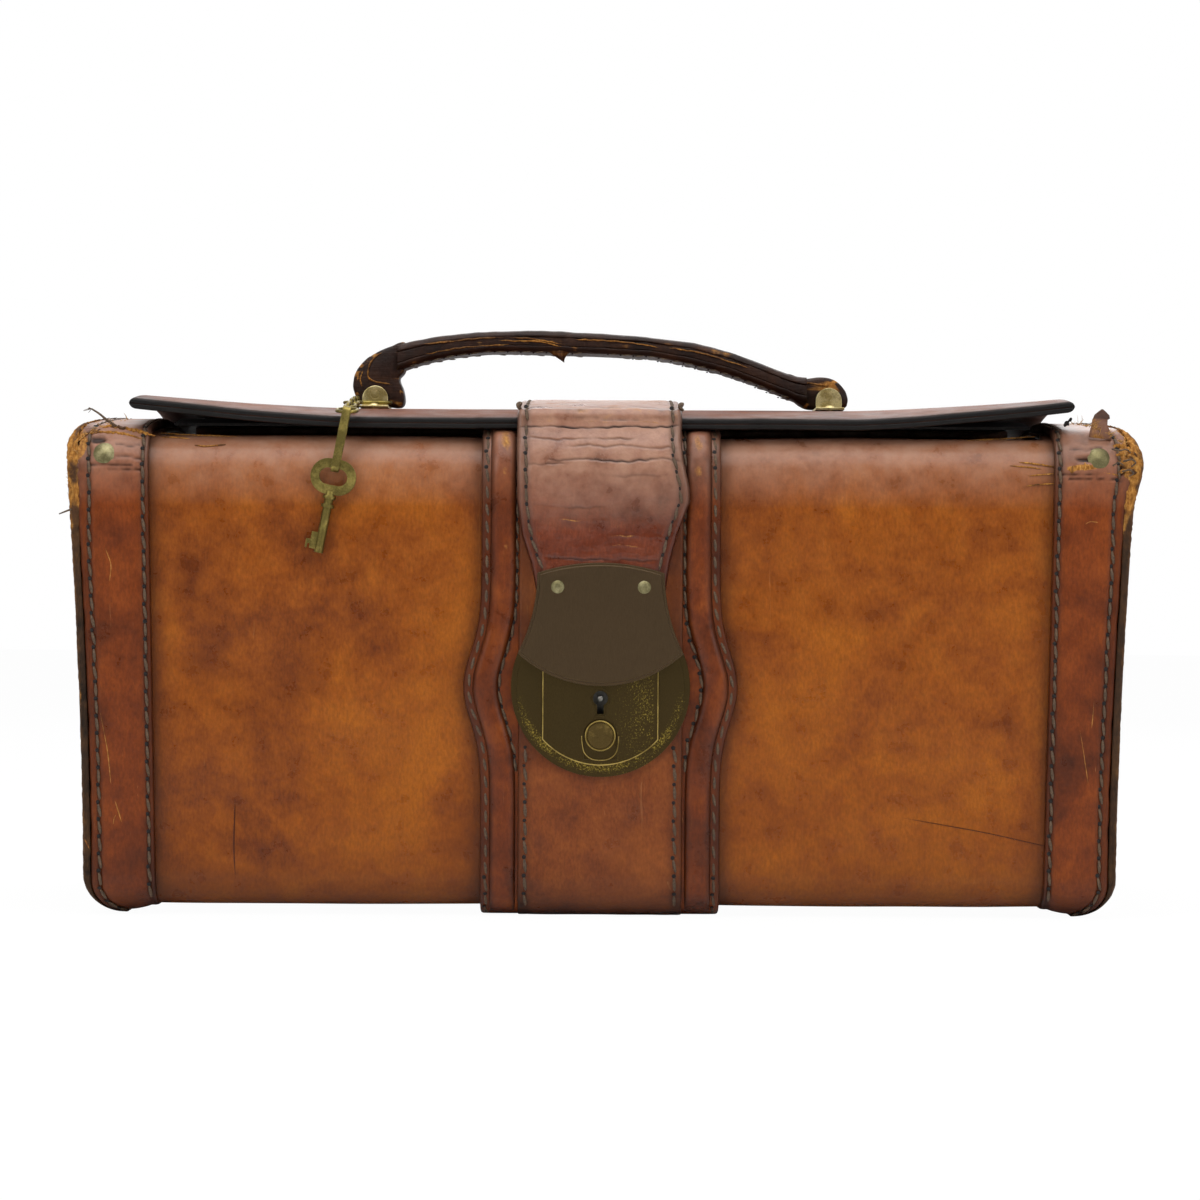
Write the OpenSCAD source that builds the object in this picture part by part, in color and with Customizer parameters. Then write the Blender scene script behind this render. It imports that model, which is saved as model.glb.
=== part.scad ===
// Leather vanity case with a flap lid, a strap and hasp lock, a stacked leather handle and a key on a chain.
// Units are millimetres. X runs along the case, -Y is the front, Z is up, and the floor is Z = 0.

/* [Body] */
// Width of the case at the foot, over the end seams
body_w = 331; // [290:1:400]
// Width that the leaning ends add at the top
flare_w = 14; // [0:1:20]
// Depth of the shell, front panel to back panel
body_d = 134; // [124:1:170]
// Height of the shell's crown above the floor
body_h = 158.5; // [150:0.5:190]
// Radius of the crowned top, seen from the end
crown_r = 380; // [300:5:600]
// Radius of the foot edges, seen from the end
foot_r = 10; // [8:0.5:13]
// Radius of the shoulders, seen from the end
shoulder_r = 15; // [13:0.5:18]
// Radius of the lower corners, seen from the front
corner_r = 13; // [10:0.5:18]
// Radius of the upper corners, seen from the front
top_corner_r = 12; // [9:0.5:16]

/* [Leather and boards] */
// Thickness of the wrapped hide
hide_t = 2; // [1.5:0.1:2.5]
// Thickness of the boards
board_t = 2.5; // [2:0.1:3.5]
// Thickness of the lining
lining_t = 0.8; // [0.5:0.1:1.2]
// Thickness of the bands that lie on the hide
band_t = 3; // [2.4:0.1:3.6]
// Thickness of the end boards
end_board_t = 3; // [2:0.1:4]
// Width of the raw seam round each end
binding_w = 2.6; // [2:0.1:3.5]
// Width of the end bands at the foot
band_w = 21.4; // [14:0.2:26]
// How far the end bands lean outward at the top
band_lean = 4; // [0:0.5:6]

/* [Mouth] */
// Distance of the mouth's ends from the case's ends
mouth_end = 22.5; // [20:0.5:40]
// Depth of the rim left along the front and back of the mouth
mouth_rim = 10; // [8:0.5:12]

/* [Centre band] */
// Width of the centre band
centre_w = 74.4; // [70:0.2:84]
// Width of the flat ground between the welts
ground_w = 54.4; // [50:0.2:56]
// Height of the welts above the band
welt_t = 1.8; // [1:0.1:2.4]
// Radius of the band where it swells round the lock
swell_r = 43; // [42:0.2:46]
// Radius of the ground round the lock
ground_r = 32.3; // [31:0.1:34]
// Width of the strip between the welts
strip_w = 53; // [46:0.5:54]
// Thickness of the strip
strip_t = 1.5; // [1:0.1:1.8]

/* [Lock] */
// Height of the lock's centre above the floor
lock_z = 73.5; // [70:0.5:76]
// Radius of the lock plate
lock_r = 28.6; // [28:0.1:30]
// Thickness of the lock plate
lock_t = 2; // [1.8:0.1:2.2]
// Width of the raised cover
cover_w = 36.8; // [34:0.2:40]
// Thickness of the raised cover
cover_t = 0.6; // [0.4:0.05:0.8]
// Radius of the keyhole
keyhole_r = 2.4; // [2:0.1:2.8]
// Radius of the release button
button_r = 4.9; // [4:0.1:5]
// Travel of the release button
button_travel = 2.4; // [2:0.1:2.6]
// Width of the lock's case
lock_case_w = 28; // [27:0.2:28.4]
// Depth of the lock's case
lock_case_d = 10.6; // [9:0.2:14]
// Wall of the lock's case
lock_wall = 1; // [0.8:0.1:1.2]
// Throw of the bolt
bolt_throw = 3.6; // [3:0.1:4]
// Clearance of parts that slide past each other
slide_gap = 0.3; // [0.2:0.05:0.4]

/* [Lid] */
// How far the lid's ends stay inside the case's ends
lid_end = 13.5; // [11:0.5:17]
// Thickness of the lid's leather
lid_t = 3.5; // [2.5:0.1:5]
// How far the lid's front edge passes the middle of the case
lid_front = 65; // [63:0.5:65.5]
// Rise of the curled ends along the front edge
curl_h = 6.1; // [0:0.1:9]
// Distance from the middle where the curl begins
curl_start = 82; // [80:1:110]
// Gap between the hinge leather and the end bands
hinge_end = 1.5; // [1.5:0.5:30]
// Length of the hinge leather sewn down the back
hinge_drop = 34; // [20:1:60]
// Angle round the back shoulder at which the hinge leather folds
fold_angle = 45; // [40:1:60]

/* [Strap] */
// Width of the strap where it leaves the lid
strap_top_w = 52.8; // [46:0.2:53.6]
// Width of the strap at the hasp
strap_end_w = 39; // [36:0.2:42]
// Thickness of the strap
strap_t = 2.9; // [2.4:0.1:3.2]
// Thickness of the hasp plate
hasp_t = 1.6; // [1.2:0.1:2]
// Height of the hasp plate
hasp_h = 39.3; // [36:0.1:42]

/* [Handle] */
// Distance from the middle to each cross pin
pin_x = 76.2; // [72:0.2:90]
// Height of the cross pins above the lid
pin_rise = 4.9; // [4.9:0.1:6]
// Radius of the cross pins
pin_r = 1.5; // [1.2:0.1:1.6]
// Height of the middle of the handle's peak above the lid
peak_rise = 23.7; // [22:0.1:30]
// Distance of the peak from the middle
peak_x = 25; // [0:1:30]
// Drop from the peak to the left end
left_drop = 6.1; // [4:0.1:8]
// Drop from the peak to the right end
right_drop = 17.5; // [14:0.1:18]
// Width of the handle in the middle
grip_w = 22; // [18:0.5:26]
// Width of the handle at its ends
grip_end_w = 16; // [13:0.5:17]
// Thickness of the handle in the middle
grip_t = 6; // [5:0.1:7]
// Lift of the handle on its pins
handle_lift = 1; // [0.6:0.1:1]

/* [Key] */
// Length of the flat link that carries the key
link_l = 21.6; // [18:0.2:26]
// Width of the flat link
link_w = 2.6; // [2:0.1:3]
// Tilt at which link and key hang
hang_tilt = 11; // [0:1:12]
// Length of the key's shank below the bow
shank_l = 19; // [15:0.5:24]

/* [Hidden] */

// Facets of small and large rounds, where a drawing needs them
$fn = 48;
crown_fn = 720;
// Half sizes and depths below the hide's surface
half_d = body_d / 2;
board_in = -hide_t - board_t;
lining_in = board_in - lining_t;
end_board_in = binding_w + end_board_t;
mouth_w = body_w - 2 * mouth_end;
lid_w = body_w - 2 * lid_end;
hinge_w = body_w - 2 * (binding_w + band_w + hinge_end);
far = 400;

// The end view's arcs: the crown's centre, the shoulders and the foot
crown_c = body_h - crown_r;
shoulder_y = half_d - shoulder_r;
shoulder_z = crown_c + sqrt(pow(crown_r - shoulder_r, 2) - pow(shoulder_y, 2));
foot_y = half_d - foot_r;
foot_z = band_t + foot_r;
outline_top = body_h + band_t;
mouth_y = half_d - mouth_rim;
side_steps = 8;

// Height of the crown at a distance y, o outside the hide
function crown_z(o, y) = crown_c + sqrt(pow(crown_r + o, 2) - y * y);
// Half the width of the front outline at a height z
function half_w(z) = body_w / 2 + flare_w / 2 * pow(max(0, z - corner_r) / (body_h - corner_r), 1.6);

// Extrudes a front view along Y, or an end view along X
module along_y(y0, y1) {
    translate([0, y1, 0]) rotate([90, 0, 0]) linear_extrude(y1 - y0) children();
}
module along_x(x0, x1) {
    translate([x0, 0, 0]) rotate([90, 0, 90]) linear_extrude(x1 - x0) children();
}
// A box given by its two corners
module span(low, high) {
    translate(low) cube(high - low);
}
module both_sides() {
    for (s = [0, 1]) mirror([s, 0, 0]) children();
}
// A plate of the front view, between two depths in front of the hide
module plate(p0, p1) {
    along_y(-half_d - p1, -half_d - p0) children();
}
// A round along Y, between two depths in front of the hide
module stud(x, z, r, p0, p1, fn = 32) {
    plate(p0, p1) translate([x, z]) circle(r, $fn = fn);
}
// A domed rivet head on the plane Z = 0
module dome(r, h) {
    ball = (r * r + h * h) / (2 * h);
    intersection() {
        translate([0, 0, h - ball]) sphere(ball, $fn = 64);
        cylinder(h = h, r = r, $fn = 32);
    }
}

// End view of the case, o outside the hide's surface
module end_view(o) {
    tangent_y = (crown_r + o) * shoulder_y / (crown_r - shoulder_r);
    translate([-half_d - o, foot_z]) square([body_d + 2 * o, shoulder_z - foot_z]);
    translate([-foot_y, band_t - o]) square([2 * foot_y, shoulder_z - band_t]);
    for (s = [-1, 1]) {
        translate([s * foot_y, foot_z]) circle(foot_r + o, $fn = 96);
        translate([s * shoulder_y, shoulder_z]) circle(shoulder_r + o, $fn = 96);
    }
    intersection() {
        translate([0, crown_c]) circle(crown_r + o, $fn = crown_fn);
        translate([-tangent_y, shoulder_z - foot_r]) square([2 * tangent_y, crown_r]);
    }
}

// Front view of the case, drawn in at the sides
module front_view(inset) {
    foot_arc = corner_r - inset;
    top_arc = top_corner_r - inset;
    foot_x = body_w / 2 - corner_r;
    top_z = outline_top - top_arc;
    top_x = half_w(top_z) - top_corner_r;
    levels = [for (i = [0:side_steps]) foot_arc + (top_z - foot_arc) * i / side_steps];
    polygon(concat(
        [for (z = levels) [half_w(z) - inset, z]],
        [for (i = [side_steps:-1:0]) [inset - half_w(levels[i]), levels[i]]]));
    translate([-foot_x, 0]) square([2 * foot_x, corner_r]);
    translate([-top_x, outline_top - top_corner_r]) square([2 * top_x, top_corner_r]);
    for (s = [-1, 1]) {
        translate([s * foot_x, foot_arc]) circle(foot_arc, $fn = 96);
        translate([s * top_x, top_z]) circle(top_arc, $fn = 96);
    }
}

// A closed layer round front, foot, back and crown
module ring(o_out, o_in, inset) {
    intersection() {
        along_x(-far, far) difference() {
            end_view(o_out);
            end_view(o_in);
        }
        along_y(-far, far) front_view(inset);
    }
}
// A sheet across the end, between two insets of the front view
module end_sheet(o, inset_out, inset_in) {
    intersection() {
        along_x(-far, 0) end_view(o);
        along_y(-far, far) difference() {
            front_view(inset_out);
            front_view(inset_in);
        }
    }
}
module mouth_cut() {
    span([-mouth_w / 2, -mouth_y, shoulder_z], [mouth_w / 2, mouth_y, far]);
}

// Openings that the lock needs through the front wall
lock_case_drop = 22.5;
lock_case_rise = 23.5;
lock_case_bottom = lock_z - lock_case_drop;
lock_case_top = lock_z + lock_case_rise;
fixing_gap = 0.1;
fixing_r = 1.2;
fixing_at = 17.3;
module lock_openings() {
    span([-lock_case_w / 2 - slide_gap, -far, lock_case_bottom - slide_gap],
         [lock_case_w / 2 + slide_gap, 0, lock_case_top + slide_gap]);
    for (x = [-1, 1], z = [-1, 1])
        stud(x * fixing_at, lock_z + z * fixing_at, fixing_r + fixing_gap, -half_d, far);
}

// The four corner rivets stand square to the shoulders
corner_rivet_r = 3.7;
corner_rivet_shank = 1.3;
corner_rivet_x = body_w / 2 - 6.1;
corner_rivet_angle = 26;
module at_corner_rivets() {
    for (sx = [-1, 1], back = [0, 1])
        mirror([0, back, 0])
            translate([sx * corner_rivet_x, -shoulder_y, shoulder_z])
                rotate([90 - corner_rivet_angle, 0, 0]) children();
}
module corner_rivet_holes() {
    at_corner_rivets() cylinder(h = shoulder_r + far / 20, r = corner_rivet_shank + fixing_gap, $fn = 32);
}

// Body of leather, boards and lining

module wrap_leather() {
    color([0.55, 0.33, 0.15]) difference() {
        ring(0, -hide_t, binding_w);
        mouth_cut();
        lock_openings();
        corner_rivet_holes();
    }
}
module left_end_leather() {
    color([0.48, 0.28, 0.14]) end_sheet(-hide_t, 0.2, binding_w);
}
module right_end_leather() {
    mirror([1, 0, 0]) left_end_leather();
}
module board_ring() {
    difference() {
        ring(-hide_t, board_in, end_board_in);
        lock_openings();
        corner_rivet_holes();
    }
}
module front_board() {
    color([0.62, 0.55, 0.42]) intersection() {
        board_ring();
        span([-far, -far, 0], [far, -foot_y, far]);
    }
}
module back_board() {
    color([0.62, 0.55, 0.42]) intersection() {
        board_ring();
        span([-far, foot_y, 0], [far, far, far]);
    }
}
module base_board() {
    color([0.62, 0.55, 0.42]) intersection() {
        board_ring();
        span([-far, -foot_y, 0], [far, foot_y, foot_z]);
    }
}
module left_end_board() {
    color([0.62, 0.55, 0.42]) end_sheet(-hide_t, binding_w, end_board_in);
}
module right_end_board() {
    mirror([1, 0, 0]) left_end_board();
}
module left_mouth_rail() {
    color([0.6, 0.52, 0.4]) intersection() {
        board_ring();
        span([-far, -foot_y, shoulder_z], [-mouth_w / 2, foot_y, far]);
    }
}
module right_mouth_rail() {
    mirror([1, 0, 0]) left_mouth_rail();
}
module body_lining() {
    color([0.45, 0.38, 0.3]) difference() {
        intersection() {
            along_x(-far, far) end_view(board_in);
            along_y(-far, far) front_view(end_board_in);
        }
        intersection() {
            along_x(-far, far) end_view(lining_in);
            along_y(-far, far) front_view(end_board_in + lining_t);
        }
        mouth_cut();
        lock_openings();
        corner_rivet_holes();
    }
}

// Bands and seams

module left_edge_band() {
    foot_in = body_w / 2 - binding_w - band_w;
    top_in = foot_in + band_lean;
    color([0.45, 0.25, 0.12]) difference() {
        intersection() {
            ring(band_t, 0, binding_w);
            along_y(-far, far)
                polygon([[-foot_in, 0], [-top_in, outline_top], [-far, outline_top], [-far, 0]]);
        }
        corner_rivet_holes();
    }
}
module right_edge_band() {
    mirror([1, 0, 0]) left_edge_band();
}
module left_edge_binding() {
    // Its crescents at the foot and the crown stop short of their thin tips
    blunt = 4;
    foot_end = body_w / 2 - corner_r + blunt;
    top_end = half_w(outline_top - top_corner_r) - top_corner_r + blunt;
    color([0.28, 0.2, 0.13]) difference() {
        intersection() {
            end_sheet(band_t, 0, binding_w);
            along_y(-far, far)
                polygon([[-foot_end, 0], [-top_end, outline_top], [-far, outline_top], [-far, 0]]);
        }
        along_x(-far, far) end_view(-hide_t);
    }
}
module right_edge_binding() {
    mirror([1, 0, 0]) left_edge_binding();
}

// Front view of the band or of its ground: straight sides that swell round the lock
module swelling(w, r) {
    translate([-w / 2, -far]) square([w, 2 * far]);
    translate([0, lock_z]) circle(r, $fn = 128);
}
back_seam_z = shoulder_z - hinge_drop;
module centre_layer(o_out, o_in) {
    intersection() {
        ring(o_out, o_in, 0);
        union() {
            span([-far, -far, 0], [far, -mouth_y, far]);
            span([-far, -far, 0], [far, far, back_seam_z]);
        }
    }
}
module centre_band() {
    color([0.5, 0.29, 0.13]) difference() {
        intersection() {
            centre_layer(band_t, 0);
            union() {
                span([-far, -mouth_y, 0], [far, far, far]);
                along_y(-far, -mouth_y) swelling(centre_w, swell_r);
            }
            union() {
                span([-centre_w / 2, -far, 0], [centre_w / 2, far, far]);
                along_y(-far, -mouth_y) swelling(centre_w, swell_r);
            }
        }
        lock_openings();
    }
}
// The padded welts are stepped to a rounded back
welt_step = 1.2;
module welt_face(side) {
    difference() {
        swelling(centre_w - 2 * side, swell_r - side);
        swelling(ground_w + 2 * side, ground_r + side);
    }
}
module centre_welt() {
    welt_low = band_t + welt_t * 0.55;
    color([0.42, 0.22, 0.1]) difference() {
        union() {
            intersection() {
                ring(welt_low, band_t, 0);
                along_y(-far, 0) welt_face(0);
            }
            intersection() {
                ring(band_t + welt_t, welt_low, 0);
                along_y(-far, 0) welt_face(welt_step);
            }
        }
        // The welts end under the lid's front edge
        span([-far, -lid_front + 1.2, 0], [far, far, far]);
        span([-far, -far, -far], [far, far, band_t]);
    }
}
strip_top = shoulder_z - 1;
strip_p = band_t + strip_t;
module centre_strip() {
    color([0.52, 0.3, 0.14]) difference() {
        intersection() {
            ring(strip_p, band_t, 0);
            span([-strip_w / 2, -far, band_t], [strip_w / 2, 0, strip_top]);
        }
        lock_openings();
    }
}
module corner_rivets() {
    washer_r = 2.6;
    washer_t = 0.7;
    lining_r = shoulder_r + lining_in;
    washer_z = sqrt(pow(lining_r, 2) - pow(washer_r, 2)) - washer_t - 0.1;
    color([0.66, 0.62, 0.42]) at_corner_rivets() {
        translate([0, 0, shoulder_r + band_t]) dome(corner_rivet_r, 1.3);
        translate([0, 0, washer_z]) cylinder(h = shoulder_r + band_t - washer_z, r = corner_rivet_shank, $fn = 32);
        translate([0, 0, washer_z]) cylinder(h = washer_t, r = washer_r, $fn = 32);
    }
}

// Lock: depths p are measured forward from the hide's surface
plate_p = strip_p + lock_t;
pocket_p = plate_p - 1.2;
cover_p = plate_p + cover_t;
case_back_p = pocket_p - lock_case_d;
staple_w = 3;
staple_bottom = lock_z + 4.5;
staple_top = staple_bottom + 7;
keyhole_z = lock_z - 3.5;
button_z = lock_z - 15.4;
stem_w = 3.2;
stem_h = 3.2;
slide_front_p = pocket_p - 0.2;
slide_t = 1.4;
slide_back_p = slide_front_p - slide_t;

module keyhole(grow) {
    translate([0, keyhole_z]) circle(keyhole_r + grow, $fn = 32);
    translate([-1.05 - grow, keyhole_z - 5 - grow]) square([2.1 + 2 * grow, 5]);
}
module staple_slot() {
    slot_w = staple_w + 4 * slide_gap;
    translate([-slot_w / 2, staple_bottom - 2 * slide_gap])
        square([slot_w, lock_case_top - lock_wall + 2 * slide_gap - staple_bottom]);
}
module lock_plate() {
    rim_step = 1.8;
    color([0.27, 0.22, 0.15]) difference() {
        union() {
            stud(0, lock_z, lock_r, strip_p, plate_p - 0.5, 128);
            stud(0, lock_z, lock_r - rim_step, plate_p - 0.5, plate_p, 128);
        }
        span([-lock_case_w / 2 - slide_gap, -half_d - pocket_p, lock_case_bottom - slide_gap],
             [lock_case_w / 2 + slide_gap, 0, lock_case_top + slide_gap]);
        plate(0, far) keyhole(0);
        plate(0, far) staple_slot();
        plate(0, far) translate([-stem_w / 2 - slide_gap, button_z - stem_h / 2 - button_travel - slide_gap])
            square([stem_w + 2 * slide_gap, stem_h + button_travel + 2 * slide_gap]);
    }
}
module lock_cover() {
    arc_r = 23.5;
    recess_r = button_r + slide_gap;
    color([0.3, 0.25, 0.17]) plate(plate_p, cover_p) difference() {
        intersection() {
            translate([-cover_w / 2, lock_z - lock_r]) square([cover_w, lock_r + 6.5]);
            translate([0, lock_z - 1.3]) circle(arc_r, $fn = 96);
        }
        keyhole(0.6);
        staple_slot();
        translate([0, button_z]) circle(recess_r, $fn = 48);
        translate([-recess_r, button_z - button_r - button_travel - slide_gap])
            square([2 * recess_r, button_r + button_travel + slide_gap]);
    }
}
bolt_z = staple_bottom + 4;
bolt_h = 1.6;
module lock_case() {
    inner_w = lock_case_w / 2 - lock_wall;
    color([0.5, 0.46, 0.36]) {
        difference() {
            span([-lock_case_w / 2, -half_d - pocket_p, lock_case_bottom],
                 [lock_case_w / 2, -half_d - case_back_p, lock_case_top]);
            span([-inner_w, -far, lock_case_bottom + lock_wall],
                 [inner_w, -half_d - case_back_p - lock_wall, lock_case_top - lock_wall]);
        }
        // Guides above and below the bolt
        span([5, -half_d - pocket_p, bolt_z + bolt_h + slide_gap],
             [inner_w + 0.2, -half_d - case_back_p - lock_wall / 2, bolt_z + bolt_h + slide_gap + 0.9]);
        span([9.5, -half_d - pocket_p, bolt_z - slide_gap - 0.9],
             [inner_w + 0.2, -half_d - slide_back_p + 0.4, bolt_z - slide_gap]);
    }
}
module lock_back_plate() {
    flange_x = 8;
    flange_z = 4;
    color([0.5, 0.46, 0.36]) difference() {
        plate(case_back_p - 1, case_back_p)
            translate([-lock_case_w / 2 - flange_x, lock_case_bottom - flange_z])
                square([lock_case_w + 2 * flange_x, lock_case_top - lock_case_bottom + 2 * flange_z]);
        for (x = [-1, 1], z = [-1, 1])
            stud(x * fixing_at, lock_z + z * fixing_at, fixing_r + fixing_gap, -half_d, half_d);
    }
}
module lock_rivets() {
    color([0.5, 0.46, 0.36]) for (x = [-1, 1], z = [-1, 1]) {
        stud(x * fixing_at, lock_z + z * fixing_at, fixing_r, case_back_p - 1, strip_p);
        stud(x * fixing_at, lock_z + z * fixing_at, fixing_r + 1, case_back_p - 1.7, case_back_p - 1);
    }
}
module key_post() {
    post_r = 0.8;
    color([0.6, 0.6, 0.58]) stud(0, keyhole_z, post_r, case_back_p + lock_wall, plate_p - 0.2, 24);
}

// Spring catch: a frame round the keyhole that the button pulls down
nose_top = staple_bottom + 1.4;
slide_top = staple_bottom;
lug_z = lock_z - 5.5;
spring_x = -10.2;
spring_r = 1.2;
spring_wire = 0.3;
spring_turns = 7;
spring_steps = 12;
module catch_slide() {
    frame_w = 15;
    window_w = 10;
    color([0.55, 0.52, 0.44]) plate(slide_back_p, slide_front_p) {
        difference() {
            translate([-frame_w / 2, lock_z - 18.9]) square([frame_w, slide_top - lock_z + 18.9]);
            translate([-window_w / 2, lock_z - 11]) square([window_w, 14]);
        }
        translate([-2.4, slide_top - 0.01]) square([4.8, nose_top - slide_top]);
    }
    // Lug on the spring
    color([0.55, 0.52, 0.44]) plate(slide_back_p - 1.4, slide_front_p)
        translate([spring_x - 1.7, lug_z]) square([-spring_x + 1.7 - frame_w / 2 + 1, 3]);
}
module release_button() {
    color([0.42, 0.36, 0.24]) {
        plate(slide_front_p, plate_p + 0.1)
            translate([-stem_w / 2, button_z - stem_h / 2]) square([stem_w, stem_h]);
        stud(0, button_z, button_r, plate_p + 0.1, plate_p + 1.1, 48);
        stud(0, button_z, button_r - 0.8, plate_p + 1.1, plate_p + 1.5, 48);
    }
}
function ring_points(c, u, v, r, n) = [for (k = [0:n - 1]) c + r * (cos(360 * k / n) * u + sin(360 * k / n) * v)];
// Faces of a tube of rings with n points each
function tube_faces(rings, n) = concat(
    [[for (k = [n - 1:-1:0]) k]],
    [for (i = [0:rings - 2], k = [0:n - 1]) [i * n + k, i * n + (k + 1) % n, (i + 1) * n + (k + 1) % n]],
    [for (i = [0:rings - 2], k = [0:n - 1]) [i * n + k, (i + 1) * n + (k + 1) % n, (i + 1) * n + k]],
    [[for (k = [0:n - 1]) (rings - 1) * n + k]]);
module catch_spring() {
    sides = 5;
    floor_z = lock_case_bottom + lock_wall + spring_wire + 0.05;
    rise = lug_z - 0.05 - spring_wire - floor_z;
    count = spring_turns * spring_steps;
    centre_y = -half_d - slide_back_p;
    rings = [for (i = [0:count])
        let (a = 360 * i / spring_steps, out = [cos(a), sin(a), 0])
        ring_points([spring_x, centre_y, floor_z + rise * i / count] + spring_r * out,
            out, [0, 0, 1], spring_wire, sides)];
    color([0.7, 0.7, 0.7]) polyhedron(
        [for (r = rings) each r], tube_faces(count + 1, sides), convexity = 10);
}
module lock_bolt() {
    tip_x = staple_w / 2 + 0.4;
    leg_x = 9.4;
    bar_back_p = slide_back_p - 0.5;
    color([0.62, 0.58, 0.48]) {
        span([tip_x, -half_d - slide_front_p + 0.5, bolt_z],
             [leg_x + 2, -half_d - bar_back_p, bolt_z + bolt_h]);
        span([leg_x, -half_d - bar_back_p, lock_z - 9.5], [leg_x + 2, -half_d - bar_back_p + 1.5, bolt_z + bolt_h]);
        span([leg_x - 1.6, -half_d - bar_back_p, lock_z - 7], [leg_x + 0.1, -half_d - bar_back_p + 1.5, lock_z - 5]);
    }
}

// Lid and its leather hinge: the fold lies on the hinge leather's outer face

lid_gap = 0.3;
lid_under = band_t + lid_gap;
lid_over = lid_under + lid_t;
lid_back = mouth_y + 1;
hinge_in = 0.2;
function lid_curl(x, y) = curl_h
    * pow(max(0, abs(x) - curl_start) / (lid_w / 2 - curl_start), 1.3)
    * (lid_back - y) / (lid_back + lid_front);

// End view of the space outside the back shoulder, from the seam to the fold or from the fold to the lid
function fold_ray(a) = [shoulder_y + far * cos(a), shoulder_z + far * sin(a)];
module hinge_leather_lower() {
    fold_slit = 0.5;
    color([0.42, 0.24, 0.12]) intersection() {
        ring(band_t, 0, 0);
        span([-hinge_w / 2, 0, 0], [hinge_w / 2, far, far]);
        along_x(-far, far) polygon([[shoulder_y, back_seam_z], [far, back_seam_z], [2 * far, shoulder_z],
            fold_ray(fold_angle - fold_slit), [shoulder_y, shoulder_z]]);
    }
}
module hinge_leather_upper() {
    inner_y = 24;
    color([0.42, 0.24, 0.12]) intersection() {
        ring(band_t + hinge_in, hinge_in, 0);
        span([-hinge_w / 2, 0, 0], [hinge_w / 2, far, far]);
        along_x(-far, far) polygon([[shoulder_y, shoulder_z], fold_ray(fold_angle), [inner_y, 2 * far],
            [inner_y, shoulder_z]]);
    }
}
module lid_leather() {
    curl_steps = 8;
    y_steps = 12;
    right = [for (i = [0:curl_steps]) curl_start + (lid_w / 2 - curl_start) * i / curl_steps];
    xs = concat([for (i = [curl_steps:-1:0]) -right[i]], right);
    ys = [for (j = [0:y_steps]) -lid_front + (lid_front + lid_back) * j / y_steps];
    nx = len(xs);
    ny = len(ys);
    under = [for (x = xs, y = ys) [x, y, crown_z(lid_under, y) + lid_curl(x, y)]];
    over = [for (x = xs, y = ys) [x, y, crown_z(lid_over, y) + lid_curl(x, y)]];
    top = nx * ny;
    rim = concat([for (i = [0:nx - 1]) i * ny], [for (j = [1:ny - 1]) (nx - 1) * ny + j],
        [for (i = [nx - 2:-1:0]) i * ny + ny - 1], [for (j = [ny - 2:-1:1]) j]);
    n_rim = len(rim);
    faces = concat(
        [for (i = [0:nx - 2], j = [0:ny - 2]) [i * ny + j, (i + 1) * ny + j, (i + 1) * ny + j + 1]],
        [for (i = [0:nx - 2], j = [0:ny - 2]) [i * ny + j, (i + 1) * ny + j + 1, i * ny + j + 1]],
        [for (i = [0:nx - 2], j = [0:ny - 2]) [top + i * ny + j, top + (i + 1) * ny + j + 1, top + (i + 1) * ny + j]],
        [for (i = [0:nx - 2], j = [0:ny - 2]) [top + i * ny + j, top + i * ny + j + 1, top + (i + 1) * ny + j + 1]],
        [for (k = [0:n_rim - 1]) [rim[k], top + rim[k], top + rim[(k + 1) % n_rim]]],
        [for (k = [0:n_rim - 1]) [rim[k], top + rim[(k + 1) % n_rim], rim[(k + 1) % n_rim]]]);
    color([0.3, 0.18, 0.11]) polyhedron(concat(under, over), faces, convexity = 4);
}
module crown_sheet(o_out, o_in) {
    along_x(-far, far) difference() {
        translate([0, crown_c]) circle(crown_r + o_out, $fn = crown_fn);
        translate([0, crown_c]) circle(crown_r + o_in, $fn = crown_fn);
    }
}
module lid_lining() {
    color([0.4, 0.3, 0.22]) intersection() {
        crown_sheet(lid_under - 0.1, lid_under - 0.1 - lining_t);
        span([-mouth_w / 2 + 4, -mouth_y + 5, shoulder_z], [mouth_w / 2 - 4, 22, far]);
    }
}

// Strap: sewn along the lid, folded over its front edge and hung down the front

strap_over = lid_over + 0.05;
fold_y = -lid_front - 0.4;
fold_z = crown_z(strap_over, lid_front) - 0.05;
strap_p = strip_p + 0.4;
strap_y = -half_d - strap_p - strap_t / 2;
strap_end_z = lock_z + 28.9;
straight_z = shoulder_z - 4;
module strap_root() {
    color([0.52, 0.3, 0.14]) intersection() {
        crown_sheet(strap_over + strap_t, strap_over);
        span([-strap_top_w / 2, -lid_front + 0.4, shoulder_z], [strap_top_w / 2, 30, far]);
    }
}
module strap_fold() {
    color([0.46, 0.26, 0.12]) along_x(-strap_top_w / 2, strap_top_w / 2) {
        intersection() {
            translate([fold_y, fold_z]) circle(strap_t, $fn = 48);
            translate([fold_y - strap_t, fold_z]) square(strap_t);
        }
        translate([fold_y - 0.01, fold_z + 0.05]) square([-lid_front + 0.35 - fold_y, strap_t - 0.05]);
    }
}
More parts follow.
